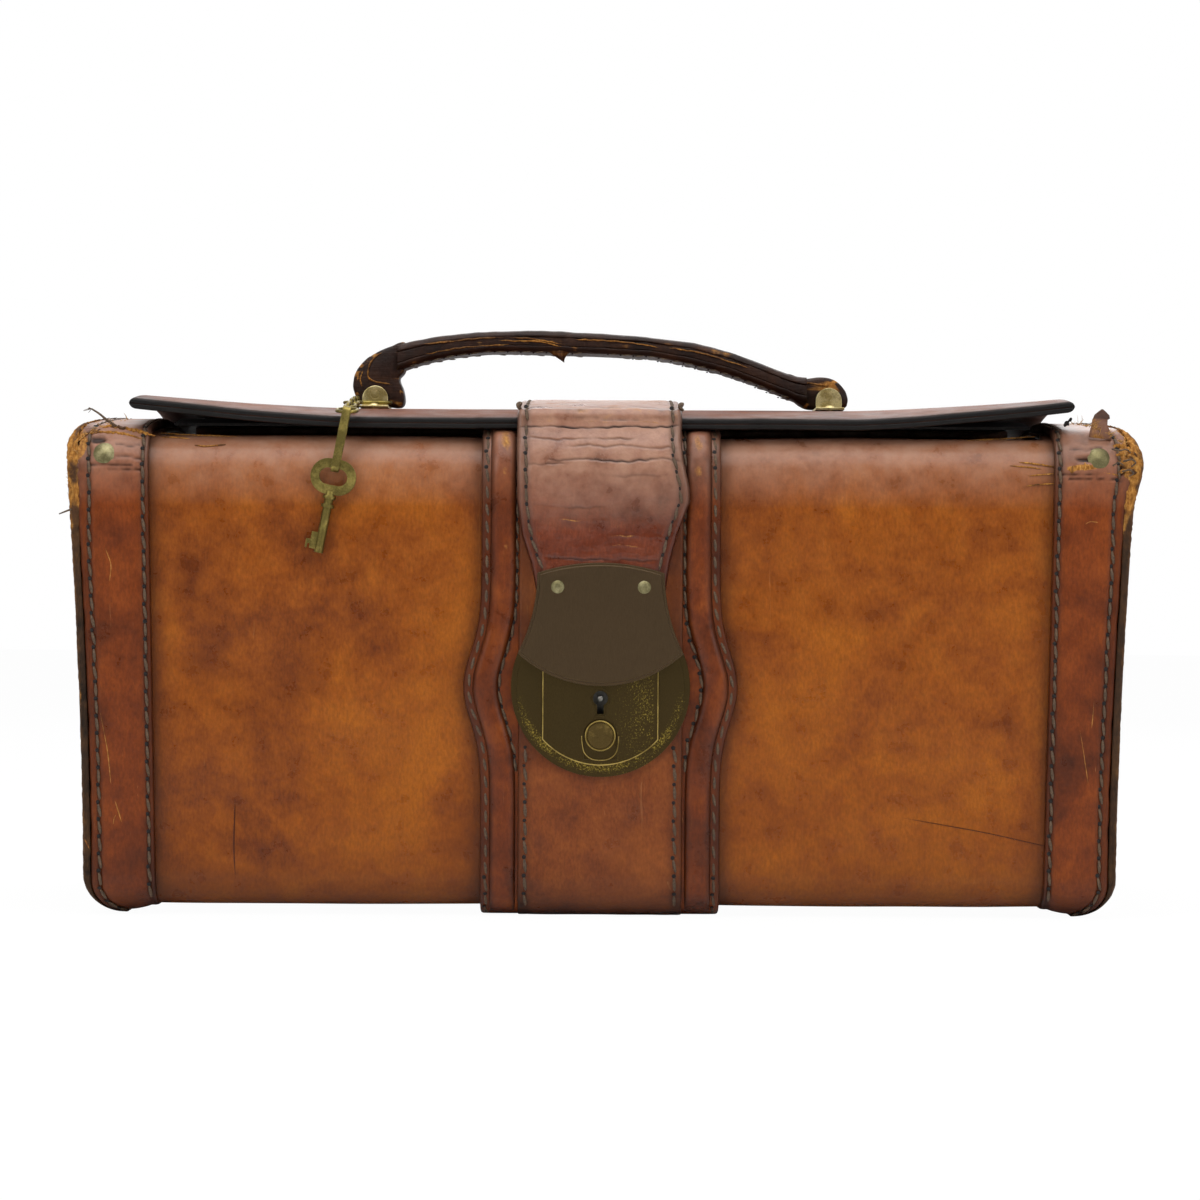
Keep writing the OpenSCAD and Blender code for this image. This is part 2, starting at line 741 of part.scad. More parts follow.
// Middle line of the hanging strap: a curve from the fold out over the shoulder
strap_steps = 14;
strap_line = [[fold_y - strap_t / 2 - 0.05, fold_z - 0.1], [fold_y - 2.6, fold_z - 9],
    [strap_y, straight_z + 17], [strap_y, straight_z]];
function curve_at(t) = pow(1 - t, 3) * strap_line[0] + 3 * t * pow(1 - t, 2) * strap_line[1]
    + 3 * t * t * (1 - t) * strap_line[2] + pow(t, 3) * strap_line[3];
function curve_way(t) = pow(1 - t, 2) * (strap_line[1] - strap_line[0])
    + 2 * t * (1 - t) * (strap_line[2] - strap_line[1]) + t * t * (strap_line[3] - strap_line[2]);
function beside(t, d) = let (w = curve_way(t)) curve_at(t) + d * [-w[1], w[0]] / norm(w);
module strap_leather() {
    ts = [for (i = [0:strap_steps]) i / strap_steps];
    half_t = strap_t / 2;
    inner_top = [fold_y - 0.05, fold_z - 0.1];
    outer_top = [fold_y - 0.05 - strap_t, fold_z - 0.1];
    edge = concat([inner_top], [for (i = [1:strap_steps]) beside(ts[i], half_t)], [[strap_y + half_t, strap_end_z]],
        [[strap_y - half_t, strap_end_z]], [for (i = [strap_steps:-1:1]) beside(ts[i], -half_t)], [outer_top]);
    widths = [[strap_top_w / 2, fold_z], [strap_top_w / 2 + 0.2, strap_end_z + 33],
        [(strap_top_w + strap_end_w) / 4 + 1.6, strap_end_z + 19], [strap_end_w / 2 + 2, strap_end_z + 8],
        [strap_end_w / 2, strap_end_z + 2], [strap_end_w / 2 - 2, strap_end_z]];
    color([0.52, 0.3, 0.14]) difference() {
        intersection() {
            along_x(-far, far) polygon(edge);
            along_y(-far, far) polygon(concat(widths,
                [for (i = [len(widths) - 1:-1:0]) [-widths[i][0], widths[i][1]]]));
        }
        for (x = [-1, 1])
            stud(x * hasp_rivet_x, hasp_rivet_z, hasp_shank_r + fixing_gap, 0, far);
    }
}
hasp_bottom = lock_z + 0.5;
hasp_top = hasp_bottom + hasp_h;
hasp_p = strap_p + strap_t;
hasp_rivet_x = 13.8;
hasp_rivet_z = strap_end_z + 3.1;
hasp_shank_r = 1.1;
module hasp_face(grow) {
    tip_r = 39.2;
    top_r = 64;
    side_r = 56.6;
    difference() {
        intersection() {
            translate([0, hasp_top - top_r]) circle(top_r + grow, $fn = 192);
            translate([0, hasp_bottom + tip_r]) circle(tip_r + grow, $fn = 128);
        }
        for (s = [-1, 1])
            translate([s * (20.3 + side_r), hasp_top - 3.3]) circle(side_r - grow, $fn = 160);
    }
}
module hasp_plate() {
    color([0.25, 0.2, 0.13]) difference() {
        union() {
            plate(hasp_p, hasp_p + hasp_t - 0.5) hasp_face(0);
            plate(hasp_p + hasp_t - 0.5, hasp_p + hasp_t) hasp_face(-0.9);
        }
        for (x = [-1, 1])
            stud(x * hasp_rivet_x, hasp_rivet_z, hasp_shank_r + fixing_gap, 0, far);
    }
}
module hasp_rivets() {
    head_r = 2.1;
    color([0.4, 0.34, 0.22]) for (x = [-1, 1]) {
        stud(x * hasp_rivet_x, hasp_rivet_z, hasp_shank_r, strap_p, hasp_p + hasp_t);
        translate([x * hasp_rivet_x, -half_d - hasp_p - hasp_t, hasp_rivet_z]) rotate([90, 0, 0]) dome(head_r, 0.8);
    }
}
module hasp_staple() {
    tip_p = pocket_p - 3.6;
    hook_t = 1.1;
    window_low = bolt_z - 0.4;
    color([0.5, 0.44, 0.3]) difference() {
        union() {
            span([-staple_w / 2, -half_d - hasp_p, staple_bottom], [staple_w / 2, -half_d - tip_p, staple_top]);
            span([-5, -half_d - hasp_p, staple_bottom], [5, -half_d - hasp_p + 0.5, staple_bottom + 14]);
        }
        // Notch for the catch, behind it the hook
        span([-far, -half_d - pocket_p + 0.1, -far], [far, -half_d - tip_p - hook_t, staple_bottom + 2.2]);
        // Eye for the bolt
        span([-far, -half_d - slide_front_p + 0.2, window_low],
             [far, -half_d - slide_back_p + 0.8, window_low + bolt_h + 0.8]);
    }
}

// Handle, brackets and pins

lid_top = crown_z(lid_over, 0);
pin_z = lid_top + pin_rise;
loop_w = 13;
ear_gap = 2.3;
ear_t = 1.8;
ear_w = 8.6;
ear_over = 2.8;
foot_l = 7;
foot_t = 0.8;
foot_lip = 0.5;
bracket_rivet_y = loop_w / 2 + ear_gap + ear_t + 4.3;
module handle_bracket(side) {
    ear_in = loop_w / 2 + ear_gap;
    foot_end = ear_in + ear_t + foot_l;
    color([0.68, 0.58, 0.32]) translate([side * pin_x, 0, lid_top + 0.02]) difference() {
        union() {
            span([-ear_w / 2 - foot_lip, -foot_end, 0], [ear_w / 2 + foot_lip, foot_end, foot_t]);
            for (m = [0, 1]) mirror([0, m, 0]) along_y(-ear_in - ear_t, -ear_in) {
                intersection() {
                    translate([0, pin_rise + ear_over - ear_w / 2]) circle(ear_w / 2, $fn = 48);
                    translate([-ear_w / 2, 0]) square([ear_w, 2 * ear_w]);
                }
                translate([-ear_w / 2, 0]) square([ear_w, pin_rise + ear_over - ear_w / 2]);
            }
        }
        translate([0, 0, pin_rise - 0.02]) rotate([90, 0, 0])
            cylinder(h = far, r = pin_r + 0.05, center = true, $fn = 32);
        for (s = [-1, 1])
            translate([0, s * bracket_rivet_y, -1]) cylinder(h = 4, r = 1.2, $fn = 32);
    }
}
module left_handle_bracket() {
    handle_bracket(-1);
}
module right_handle_bracket() {
    handle_bracket(1);
}
module handle_pin(side) {
    pin_l = loop_w + 2 * ear_gap + 2 * ear_t;
    color([0.6, 0.52, 0.3]) translate([side * pin_x, 0, pin_z]) rotate([90, 0, 0])
        cylinder(h = pin_l, r = pin_r, center = true, $fn = 32);
}
module left_handle_pin() {
    handle_pin(-1);
}
module right_handle_pin() {
    handle_pin(1);
}
module bracket_rivets() {
    color([0.6, 0.52, 0.3]) for (x = [-1, 1], y = [-1, 1])
        translate([x * pin_x, y * bracket_rivet_y, lid_top + foot_t + 0.02]) {
            dome(1.9, 0.9);
            translate([0, 0, -foot_t - lid_t]) cylinder(h = foot_t + lid_t, r = 1.1, $fn = 32);
        }
}

// Middle line, half width and half height of the handle at a distance x
grip_end_x = pin_x - 7.2;
peak_z = lid_top + peak_rise;
grip_steps = 22;
function grip_z(x) = x < -peak_x
    ? peak_z - left_drop * pow((-peak_x - x) / (grip_end_x - peak_x), 2.6)
    : peak_z - right_drop * pow((x + peak_x) / (grip_end_x + peak_x), 2.6);
function grip_share(x) = pow(abs(x) / grip_end_x, 2);
function grip_half_w(x) = (grip_w + (grip_end_w - grip_w) * grip_share(x)) / 2;
function grip_half_h(x) = (grip_t + 1.4 * grip_share(x)) / 2
    * sqrt(1 + pow(grip_z(min(x + 1, grip_end_x)) - grip_z(min(x, grip_end_x - 1)), 2));
// One layer of the stack, between two shares of the half height
module grip_layer(low, high, draw_in) {
    xs = [for (i = [0:grip_steps]) -grip_end_x + 2 * grip_end_x * i / grip_steps];
    rings = [for (x = xs)
        let (w = grip_half_w(x) - draw_in, z = grip_z(x), h = grip_half_h(x))
        [[x, -w, z + low * h], [x, w, z + low * h], [x, w, z + high * h], [x, -w, z + high * h]]];
    polyhedron([for (r = rings) each r], tube_faces(grip_steps + 1, 4), convexity = 4);
}
module handle_top_leather() {
    color([0.3, 0.17, 0.1]) grip_layer(0.42, 1, 0);
}
module handle_core() {
    color([0.42, 0.26, 0.13]) grip_layer(-0.46, 0.42, 0.5);
}
module handle_bottom_leather() {
    color([0.26, 0.16, 0.1]) grip_layer(-1, -0.46, 0);
}

// The leather loop at each end turns round its pin and lies on the bracket's foot
loop_r = 6.8;
loop_foot = lid_top + foot_t + 0.3;
module handle_loop(side, upper_r) {
    end_z = grip_z(side * grip_end_x);
    end_h = grip_half_h(side * grip_end_x);
    upper_z = max(pin_z, end_z + end_h - upper_r - 2.2);
    slot_r = pin_r + 0.1;
    color([0.3, 0.18, 0.11]) mirror([side < 0 ? 1 : 0, 0, 0]) difference() {
        along_y(-loop_w / 2, loop_w / 2) intersection() {
            union() {
                translate([pin_x, pin_z]) circle(loop_r, $fn = 64);
                translate([pin_x, upper_z]) circle(upper_r, $fn = 64);
                translate([pin_x - loop_r, pin_z]) square([2 * loop_r, upper_z - pin_z + 0.01]);
                polygon([[pin_x, upper_z + upper_r - 0.1], [grip_end_x - 1, end_z + end_h],
                    [grip_end_x - 1, end_z - end_h], [pin_x - 2, pin_z]]);
                translate([pin_x - loop_r, loop_foot]) square([2 * loop_r, pin_z - loop_foot]);
            }
            translate([grip_end_x, loop_foot]) square(far);
        }
        for (drop = [0, handle_lift])
            translate([pin_x, 0, pin_z - drop]) rotate([90, 0, 0])
                cylinder(h = far, r = slot_r, center = true, $fn = 32);
        span([pin_x - slot_r, -far, pin_z - handle_lift], [pin_x + slot_r, far, pin_z]);
    }
}
module left_handle_loop() {
    handle_loop(-1, 7.6);
}
module right_handle_loop() {
    handle_loop(1, loop_r);
}

// Key, its flat link, and the chain from the left bracket over the lid's front edge

wire_r = 0.55;
chain_w = 4.2;
hook_w = 7.6;
chain_links = 8;
link_slack = 0.2;
link_wall = 0.7;
link_gap = 2.4;
lie_z = chain_w / 2 + 0.1;
chain_x = -pin_x - 5.6;
hook_y = -half_d - 2.5;
ring_y = -loop_w / 2 - ear_gap - ear_t / 2;
ring_w = ear_t + 3.1 + 2 * wire_r;
// The links hang taut from the ring's front wire to the hook
ring_front = ring_y - ring_w / 2 + wire_r;
chain_pitch = (ring_front - hook_y - link_slack / 2) / chain_links;
chain_l = chain_pitch + 4 * wire_r + link_slack;
function link_y(i) = ring_front + wire_r - chain_pitch * (i + 0.5);
function link_sine(i) = link_y(i) / (crown_r + lid_over);
hook_z = crown_z(lid_over, link_y(chain_links - 1)) + lie_z + (chain_l / 2 - wire_r) * link_sine(chain_links - 1);
// A closed wire link in the XY plane, long side along Y
module wire_link(l, w) {
    bend_r = w / 2 - wire_r;
    reach = l / 2 - w / 2;
    for (s = [0, 1]) {
        mirror([0, s, 0]) translate([0, reach, 0]) rotate_extrude(angle = 180, $fn = 32)
            translate([bend_r, 0]) circle(wire_r, $fn = 16);
        mirror([s, 0, 0]) translate([bend_r, 0, 0]) rotate([90, 0, 0])
            cylinder(h = 2 * reach, r = wire_r, center = true, $fn = 16);
    }
}
module key_ring() {
    color([0.55, 0.5, 0.36]) translate([-pin_x - 2.5, ring_y, crown_z(lid_over, ring_front) + lie_z])
        rotate([0, 0, 90]) wire_link(ear_w + 8, ring_w);
}
module key_chain() {
    color([0.55, 0.5, 0.36]) for (i = [0:chain_links - 1]) {
        translate([chain_x, link_y(i), crown_z(lid_over, link_y(i)) + lie_z])
            rotate([-asin(link_sine(i)), 0, 0]) rotate([0, i % 2 == 0 ? 90 : 0, 0])
                wire_link(chain_l, i == chain_links - 1 ? hook_w : chain_w);
    }
}
module hung() {
    translate([chain_x, hook_y, hook_z]) rotate([0, hang_tilt, 0]) children();
}
link_r = link_gap / 2 + link_wall;
link_drop = link_l - 2 * link_r;
module long_round(r, l) {
    circle(r, $fn = 32);
    translate([0, -l]) circle(r, $fn = 32);
    translate([-r, -l]) square([2 * r, l]);
}
module key_link() {
    color([0.58, 0.52, 0.36]) hung() along_x(-link_w / 2, link_w / 2) difference() {
        long_round(link_r, link_drop);
        long_round(link_r - link_wall, link_drop);
    }
}
bow_w = 14.7;
bow_h = 11.5;
bow_t = 1.4;
eye_w = 9;
eye_h = 5.4;
seat_gap = 0.45;
bow_z = -link_drop - link_r + link_wall + seat_gap - eye_h / 2;
// A flat oval across X
module oval(w, h) {
    for (s = [-1, 1]) translate([s * (w - h) / 2, 0]) circle(h / 2, $fn = 48);
    translate([-(w - h) / 2, -h / 2]) square([w - h, h]);
}
module key() {
    shank_r = 1.45;
    tip_z = -bow_h / 2 - shank_l;
    color([0.64, 0.58, 0.36]) hung() translate([0, 0, bow_z]) difference() {
        union() {
            along_y(-bow_t / 2, bow_t / 2) difference() {
                oval(bow_w, bow_h);
                oval(eye_w, eye_h);
            }
            translate([0, 0, tip_z]) cylinder(h = shank_l + 1, r = shank_r, $fn = 32);
            for (z = [-0.6, -3.4])
                translate([0, 0, -bow_h / 2 + z - 0.9]) cylinder(h = 1.1, r = shank_r + 0.65, $fn = 32);
            // Bit with one step
            span([-shank_r - 3.2, -bow_t / 2, tip_z + 1], [0, bow_t / 2, tip_z + 6.4]);
        }
        translate([0, 0, tip_z - 1]) cylinder(h = 9, r = 0.95, $fn = 24);
        span([-shank_r - 4, -2, tip_z + 3.9], [-shank_r - 1.8, 2, tip_z + 7]);
        span([-shank_r - 2.6, -2, tip_z + 0.5], [-shank_r - 1.8, 2, tip_z + 2.4]);
    }
}

wrap_leather();
left_end_leather();
right_end_leather();
front_board();
back_board();
base_board();
left_end_board();
right_end_board();
left_mouth_rail();
right_mouth_rail();
body_lining();
left_edge_band();
right_edge_band();
left_edge_binding();
right_edge_binding();
centre_band();
centre_welt();
centre_strip();
corner_rivets();
lock_plate();
lock_cover();
lock_case();
lock_back_plate();
lock_rivets();
key_post();
catch_spring();
hinge_leather_lower();
release_button();
catch_slide();
lock_bolt();
lid_leather();
lid_lining();
hinge_leather_upper();
strap_root();
strap_fold();
left_handle_bracket();
right_handle_bracket();
left_handle_pin();
right_handle_pin();
bracket_rivets();
key_ring();
key_chain();
strap_leather();
hasp_plate();
hasp_rivets();
hasp_staple();
handle_top_leather();
handle_core();
handle_bottom_leather();
left_handle_loop();
right_handle_loop();
key_link();
key();
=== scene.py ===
"""Looks of a worn leather vanity case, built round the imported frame.

Sizes are in millimetres unless a comment says otherwise. Meshes are written in metres, in the frame's own axes:
X runs along the case, -Y is the front, Z is up, and the case stands on Z = 0.
"""

import logging
import math
from dataclasses import dataclass
from enum import Enum
from typing import Callable, Sequence

import bmesh
import bpy
import numpy as np
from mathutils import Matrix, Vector, noise


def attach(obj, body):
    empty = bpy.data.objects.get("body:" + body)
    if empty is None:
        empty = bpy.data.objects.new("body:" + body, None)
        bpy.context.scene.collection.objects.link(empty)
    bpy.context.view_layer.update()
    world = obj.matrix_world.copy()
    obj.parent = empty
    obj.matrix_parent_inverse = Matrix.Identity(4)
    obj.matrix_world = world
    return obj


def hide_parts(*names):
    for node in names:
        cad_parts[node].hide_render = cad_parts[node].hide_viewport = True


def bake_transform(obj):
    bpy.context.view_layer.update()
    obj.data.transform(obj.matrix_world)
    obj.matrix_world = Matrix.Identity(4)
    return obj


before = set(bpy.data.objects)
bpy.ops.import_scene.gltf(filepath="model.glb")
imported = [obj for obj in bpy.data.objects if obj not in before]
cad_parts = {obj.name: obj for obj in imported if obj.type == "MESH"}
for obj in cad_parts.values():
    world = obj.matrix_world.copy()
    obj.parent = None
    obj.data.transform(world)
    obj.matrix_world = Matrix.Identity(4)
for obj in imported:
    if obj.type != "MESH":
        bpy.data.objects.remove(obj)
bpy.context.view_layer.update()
MM = 0.001
MERGE = 0.00001  # distance in metres at which a mesh's points become one
MERGE_FRAME = 0.000002  # the same for a part of the frame
MASKS = ("worn", "raw", "edge", "crack")
MIDDLE = (0, 0, 80)  # a point inside the case
HIDE_WALL = 1.6  # thickness of the dressed hide, inside the frame's own
LOCK_Z = 73.5  # height of the lock's middle
BACK_SEAM_Z = 105.8  # where the centre band and the hinge leather meet on the back
STITCH_Z = 0.62  # lowest height of a stitch's path, so that no stitch goes through the floor
Socket = bpy.types.NodeSocket
log = logging.getLogger("vanity_case")


def linear(hex_colour: str) -> tuple[float, float, float, float]:
    """Turns an sRGB hex colour into the linear values that a shader takes.

    Args:
        hex_colour: the colour as #RRGGBB.

    Returns:
        Red, green, blue and an alpha of 1.
    """
    parts = [int(hex_colour[i : i + 2], 16) / 255 for i in (1, 3, 5)]
    red, green, blue = (c / 12.92 if c <= 0.04045 else ((c + 0.055) / 1.055) ** 2.4 for c in parts)
    return red, green, blue, 1.0


def add(tree: bpy.types.NodeTree, kind: str, props: dict | None = None, values: dict | None = None,
        links: dict | None = None) -> bpy.types.Node:
    """Adds a node with its settings and links.

    Args:
        tree: the node tree.
        kind: the node's type.
        props: attributes of the node; "stops" fills a colour ramp with (position, hex colour) pairs.
        values: default values by input name or index.
        links: source sockets by input name or index.

    Returns:
        The node.
    """
    node = tree.nodes.new(kind)
    for name, value in (props or {}).items():
        if name == "stops":
            elements = node.color_ramp.elements
            while len(elements) < len(value):
                elements.new(0.5)
            for element, (position, colour) in zip(elements, value):
                element.position = position
                element.color = linear(colour)
        else:
            setattr(node, name, value)
    for key, value in (values or {}).items():
        node.inputs[key].default_value = value
    for key, source in (links or {}).items():
        tree.links.new(source, node.inputs[key])
    return node


def rough_noise(x: np.ndarray | float, y: np.ndarray | float, z: np.ndarray | float = 0.0) -> np.ndarray | float:
    """Smooth noise of about -1 to 1 at one or many points, the same in each run."""
    places = np.broadcast(x, y, z)
    values = [noise.noise(Vector((a + 11.3, b + 4.7, c + 7.9))) for a, b, c in places]
    return np.array(values).reshape(places.shape)[()]


def smooth_step(value: np.ndarray | float, low: float, high: float) -> np.ndarray | float:
    """Rises smoothly from 0 at low to 1 at high."""
    t = np.clip((np.asarray(value, float) - low) / (high - low), 0, 1)
    return t * t * (3 - 2 * t)


def bell(value: np.ndarray | float, at: float, width: float) -> np.ndarray | float:
    """A smooth hump of height 1 at a value."""
    return np.exp(-(((value - at) / width) ** 2))


# Outline of the case


@dataclass(frozen=True)
class CaseForm:
    """Sizes that the case's surfaces are worked out from, as in the frame.

    Attributes:
        body_w: width at the foot.
        flare_w: what the leaning ends add at the top.
        body_d: depth of the shell.
        body_h: height of the hide's crown.
        crown_r: radius of the crowned top.
        foot_r: radius of the foot edges.
        shoulder_r: radius of the shoulders.
        corner_r: radius of the lower corners in the front view.
        top_corner_r: radius of the upper corners in the front view.
        band_t: thickness of the bands on the hide.
        binding_w: width of the raw end seam.
        mouth_half: half the length of the mouth.
        mouth_y: half the depth of the mouth.
    """

    body_w: float = 331.0
    flare_w: float = 14.0
    body_d: float = 134.0
    body_h: float = 158.5
    crown_r: float = 380.0
    foot_r: float = 10.0
    shoulder_r: float = 15.0
    corner_r: float = 13.0
    top_corner_r: float = 12.0
    band_t: float = 3.0
    binding_w: float = 2.6
    mouth_half: float = 143.0
    mouth_y: float = 57.0

    @property
    def half_d(self) -> float:
        """Distance of the hide's front from the middle."""
        return self.body_d / 2

    @property
    def crown_c(self) -> float:
        """Height of the crown's centre."""
        return self.body_h - self.crown_r

    @property
    def shoulder_y(self) -> float:
        """Distance of the shoulders' centres from the middle."""
        return self.half_d - self.shoulder_r

    @property
    def shoulder_z(self) -> float:
        """Height of the shoulders' centres."""
        return self.crown_c + math.sqrt((self.crown_r - self.shoulder_r) ** 2 - self.shoulder_y**2)

    @property
    def foot_z(self) -> float:
        """Height of the foot arcs' centres."""
        return self.band_t + self.foot_r

    def crown_z(self, o: float, y: np.ndarray | float) -> np.ndarray | float:
        """Height of the crown at y, o outside the hide."""
        return self.crown_c + np.sqrt((self.crown_r + o) ** 2 - np.asarray(y, float) ** 2)

    def half_w(self, z: np.ndarray | float) -> np.ndarray | float:
        """Half the width of the leaning sides at height z."""
        rise = np.clip(np.asarray(z, float) - self.corner_r, 0, None) / (self.body_h - self.corner_r)
        return self.body_w / 2 + self.flare_w / 2 * rise**1.6

    def edge_x(self, z: np.ndarray | float, inset: np.ndarray | float) -> np.ndarray | float:
        """Half the width of the front view at height z with its round corners, drawn in by inset."""
        z = np.asarray(z, float)
        foot_arc = self.corner_r - inset
        top_arc = self.top_corner_r - inset
        top_z = self.body_h + self.band_t - top_arc
        low = self.body_w / 2 - self.corner_r + np.sqrt(np.clip(foot_arc**2 - (foot_arc - z) ** 2, 0, None))
        high = self.half_w(top_z) - self.top_corner_r + np.sqrt(np.clip(top_arc**2 - (z - top_z) ** 2, 0, None))
        return np.where(z < foot_arc, low, np.where(z > top_z, high, self.half_w(z) - inset))


FORM = CaseForm()


class EndPath:
    """The hide's outline in the end view, walked from the crown's middle down the front and up the back."""

    STEP = 0.4

    def __init__(self, form: CaseForm) -> None:
        """Samples the outline with its outward directions."""
        lean = math.asin(form.shoulder_y / (form.crown_r - form.shoulder_r))
        rows: list[tuple[float, float, float, float]] = []

        def arc(centre_y: float, centre_z: float, radius: float, start: float, stop: float) -> None:
            """Adds an arc between two angles from straight up."""
            count = max(4, int(radius * abs(stop - start) / self.STEP))
            for a in np.linspace(start, stop, count, endpoint=False):
                rows.append((centre_y - radius * math.sin(a), centre_z + radius * math.cos(a),
                             -math.sin(a), math.cos(a)))

        def line(y0: float, z0: float, y1: float, z1: float, out_y: float, out_z: float) -> None:
            """Adds a straight piece with its outward direction."""
            count = int(math.hypot(y1 - y0, z1 - z0) / self.STEP)
            for t in np.linspace(0, 1, count, endpoint=False):
                rows.append((y0 + (y1 - y0) * t, z0 + (z1 - z0) * t, out_y, out_z))

        front = -form.half_d
        foot_y = form.half_d - form.foot_r
        arc(0, form.crown_c, form.crown_r, 0, lean)
        arc(-form.shoulder_y, form.shoulder_z, form.shoulder_r, lean, math.pi / 2)
        line(front, form.shoulder_z, front, form.foot_z, -1, 0)
        arc(-foot_y, form.foot_z, form.foot_r, math.pi / 2, math.pi)
        line(-foot_y, form.band_t, 0, form.band_t, 0, -1)
        half = np.array(rows)
        back = half[::-1] * [-1, 1, -1, 1]
        data = np.vstack([half, [[0, form.band_t, 0, -1]], back])
        steps = np.hypot(np.diff(data[:, 0]), np.diff(data[:, 1]))
        self.s = np.concatenate([[0], np.cumsum(steps)])
        self.data = data
        self.length = float(self.s[-1])

    def at(self, s: np.ndarray | float, o: np.ndarray | float) -> tuple[np.ndarray, np.ndarray]:
        """The y and z of the outline at distance s along it, o outside the hide."""
        y, z, out_y, out_z = (np.interp(s, self.s, self.data[:, k]) for k in range(4))
        return y + np.asarray(o) * out_y, z + np.asarray(o) * out_z

    def row(self, x: np.ndarray, s: float, o: np.ndarray | float) -> np.ndarray:
        """Points at x along the case, at distance s along the outline, as an array of (points, 3)."""
        return np.column_stack([x, *self.at(np.full_like(x, s), o)])

    def outward(self, s: np.ndarray | float) -> tuple[np.ndarray, np.ndarray]:
        """The outward direction at distance s, as y and z."""
        return np.interp(s, self.s, self.data[:, 2]), np.interp(s, self.s, self.data[:, 3])

    def front_at(self, z: float, o: float = 0.0) -> float:
        """The distance s at which the front, o outside the hide, reaches height z on the way down."""
        half = len(self.s) // 2
        return float(np.interp(-z, -(self.data[:half, 1] + o * self.data[:half, 3]), self.s[:half]))

    def back_at(self, z: float) -> float:
        """The distance s at which the back reaches height z, on the way up."""
        return self.length - self.front_at(z)

    def crown_at(self, y: float) -> float:
        """The distance s at which the crown's front half reaches -y."""
        return float(np.interp(y, -self.data[:400, 0], self.s[:400]))


PATH = EndPath(FORM)


# Meshes


class Skin:
    """Collects a mesh's points in millimetres, with its wear masks."""

    def __init__(self, name: str) -> None:
        """Starts an empty mesh of that name."""
        self.name = name
        self.points: list[np.ndarray] = []
        self.masks: dict[str, list[np.ndarray]] = {m: [] for m in MASKS}
        self.faces: list[tuple[int, ...]] = []
        self.count = 0

    def grid(self, points: np.ndarray, wrap: bool = False, loop: bool = False, caps: bool = False,
             keep: Callable[[int, int], bool] | None = None, **masks: np.ndarray | float) -> None:
        """Adds a grid of quads.

        Args:
            points: rows of points, as an array of (rows, columns, 3).
            wrap: joins the last column to the first.
            loop: joins the last row to the first.
            caps: closes the first and the last row.
            keep: says whether the quad at a row and column is made.
            masks: values of the wear masks, as arrays of (rows, columns) or numbers, held to 0 to 1.
        """
        rows, columns = points.shape[:2]
        for name in MASKS:
            mask = np.clip(masks.get(name, 0.0), 0, 1)
            self.masks[name].append(np.broadcast_to(mask, (rows, columns)).reshape(-1))
        self.points.append(points.reshape(-1, 3))
        base = self.count
        self.count += rows * columns
        for i in range(rows if loop else rows - 1):
            for j in range(columns if wrap else columns - 1):
                if keep is None or keep(i, j):
                    k, l = (i + 1) % rows, (j + 1) % columns
                    self.faces.append((base + i * columns + j, base + i * columns + l,
                                       base + k * columns + l, base + k * columns + j))
        if caps:
            self.faces.append(tuple(base + j for j in reversed(range(columns))))
            self.faces.append(tuple(base + (rows - 1) * columns + j for j in range(columns)))

    def tube(self, points: Sequence[Sequence[float]], radius: Callable[[float], float] | float, sides: int = 7,
             **masks: float) -> None:
        """Adds a closed tube round a line; its radius is a number, or a function of the share of its length."""
        reach = radius if callable(radius) else lambda _: radius
        self.grid(tube_rows(points, reach, sides), wrap=True, caps=True, **masks)

    def build(self, material: bpy.types.Material, wall: float = 0.0,
              inside: tuple[float, float, float] | None = None) -> bpy.types.Object:
        """Makes the object.

        Args:
            material: its material.
            wall: thickness that an open sheet gets on its inner side.
            inside: a point on the inner side of an open sheet.

        Returns:
            The object, at the origin.
        """
        mesh = bpy.data.meshes.new(self.name)
        mesh.from_pydata((np.vstack(self.points) * MM).tolist(), [], self.faces)
        for name in MASKS:
            attribute = mesh.attributes.new(name, "FLOAT", "POINT")
            attribute.data.foreach_set("value", np.concatenate(self.masks[name]).astype(np.float32))
        shape = bmesh.new()
        shape.from_mesh(mesh)
        bmesh.ops.remove_doubles(shape, verts=shape.verts, dist=MERGE)
        bmesh.ops.recalc_face_normals(shape, faces=shape.faces)
        if inside is not None:
            middle = Vector(inside) * MM
            if sum((f.calc_center_median() - middle).dot(f.normal) * f.calc_area() for f in shape.faces) < 0:
                bmesh.ops.reverse_faces(shape, faces=shape.faces)
        shape.to_mesh(mesh)
        shape.free()
        mesh.shade_smooth()
        mesh.materials.append(material)
        piece = bpy.data.objects.new(self.name, mesh)
        bpy.context.scene.collection.objects.link(piece)
        if wall:
            solid = piece.modifiers.new("wall", "SOLIDIFY")
            solid.thickness = wall * MM
            solid.offset = -1
            bake_modifiers(piece)
        return piece


def sweep(name: str, rows: Sequence[np.ndarray], material: bpy.types.Material, loop: bool = False,
          **masks: Sequence[np.ndarray] | float) -> bpy.types.Object:
    """Makes a piece from cross-sections.

    Args:
        name: the piece's name.
        rows: the cross-sections, each closed round.
        material: its material.
        loop: joins the last cross-section to the first instead of closing both.
        masks: values of the wear masks.

    Returns:
        The object, at the origin.
    """
    skin = Skin(name)
    skin.grid(np.array(rows), wrap=True, loop=loop, caps=not loop, **masks)
    return skin.build(material)


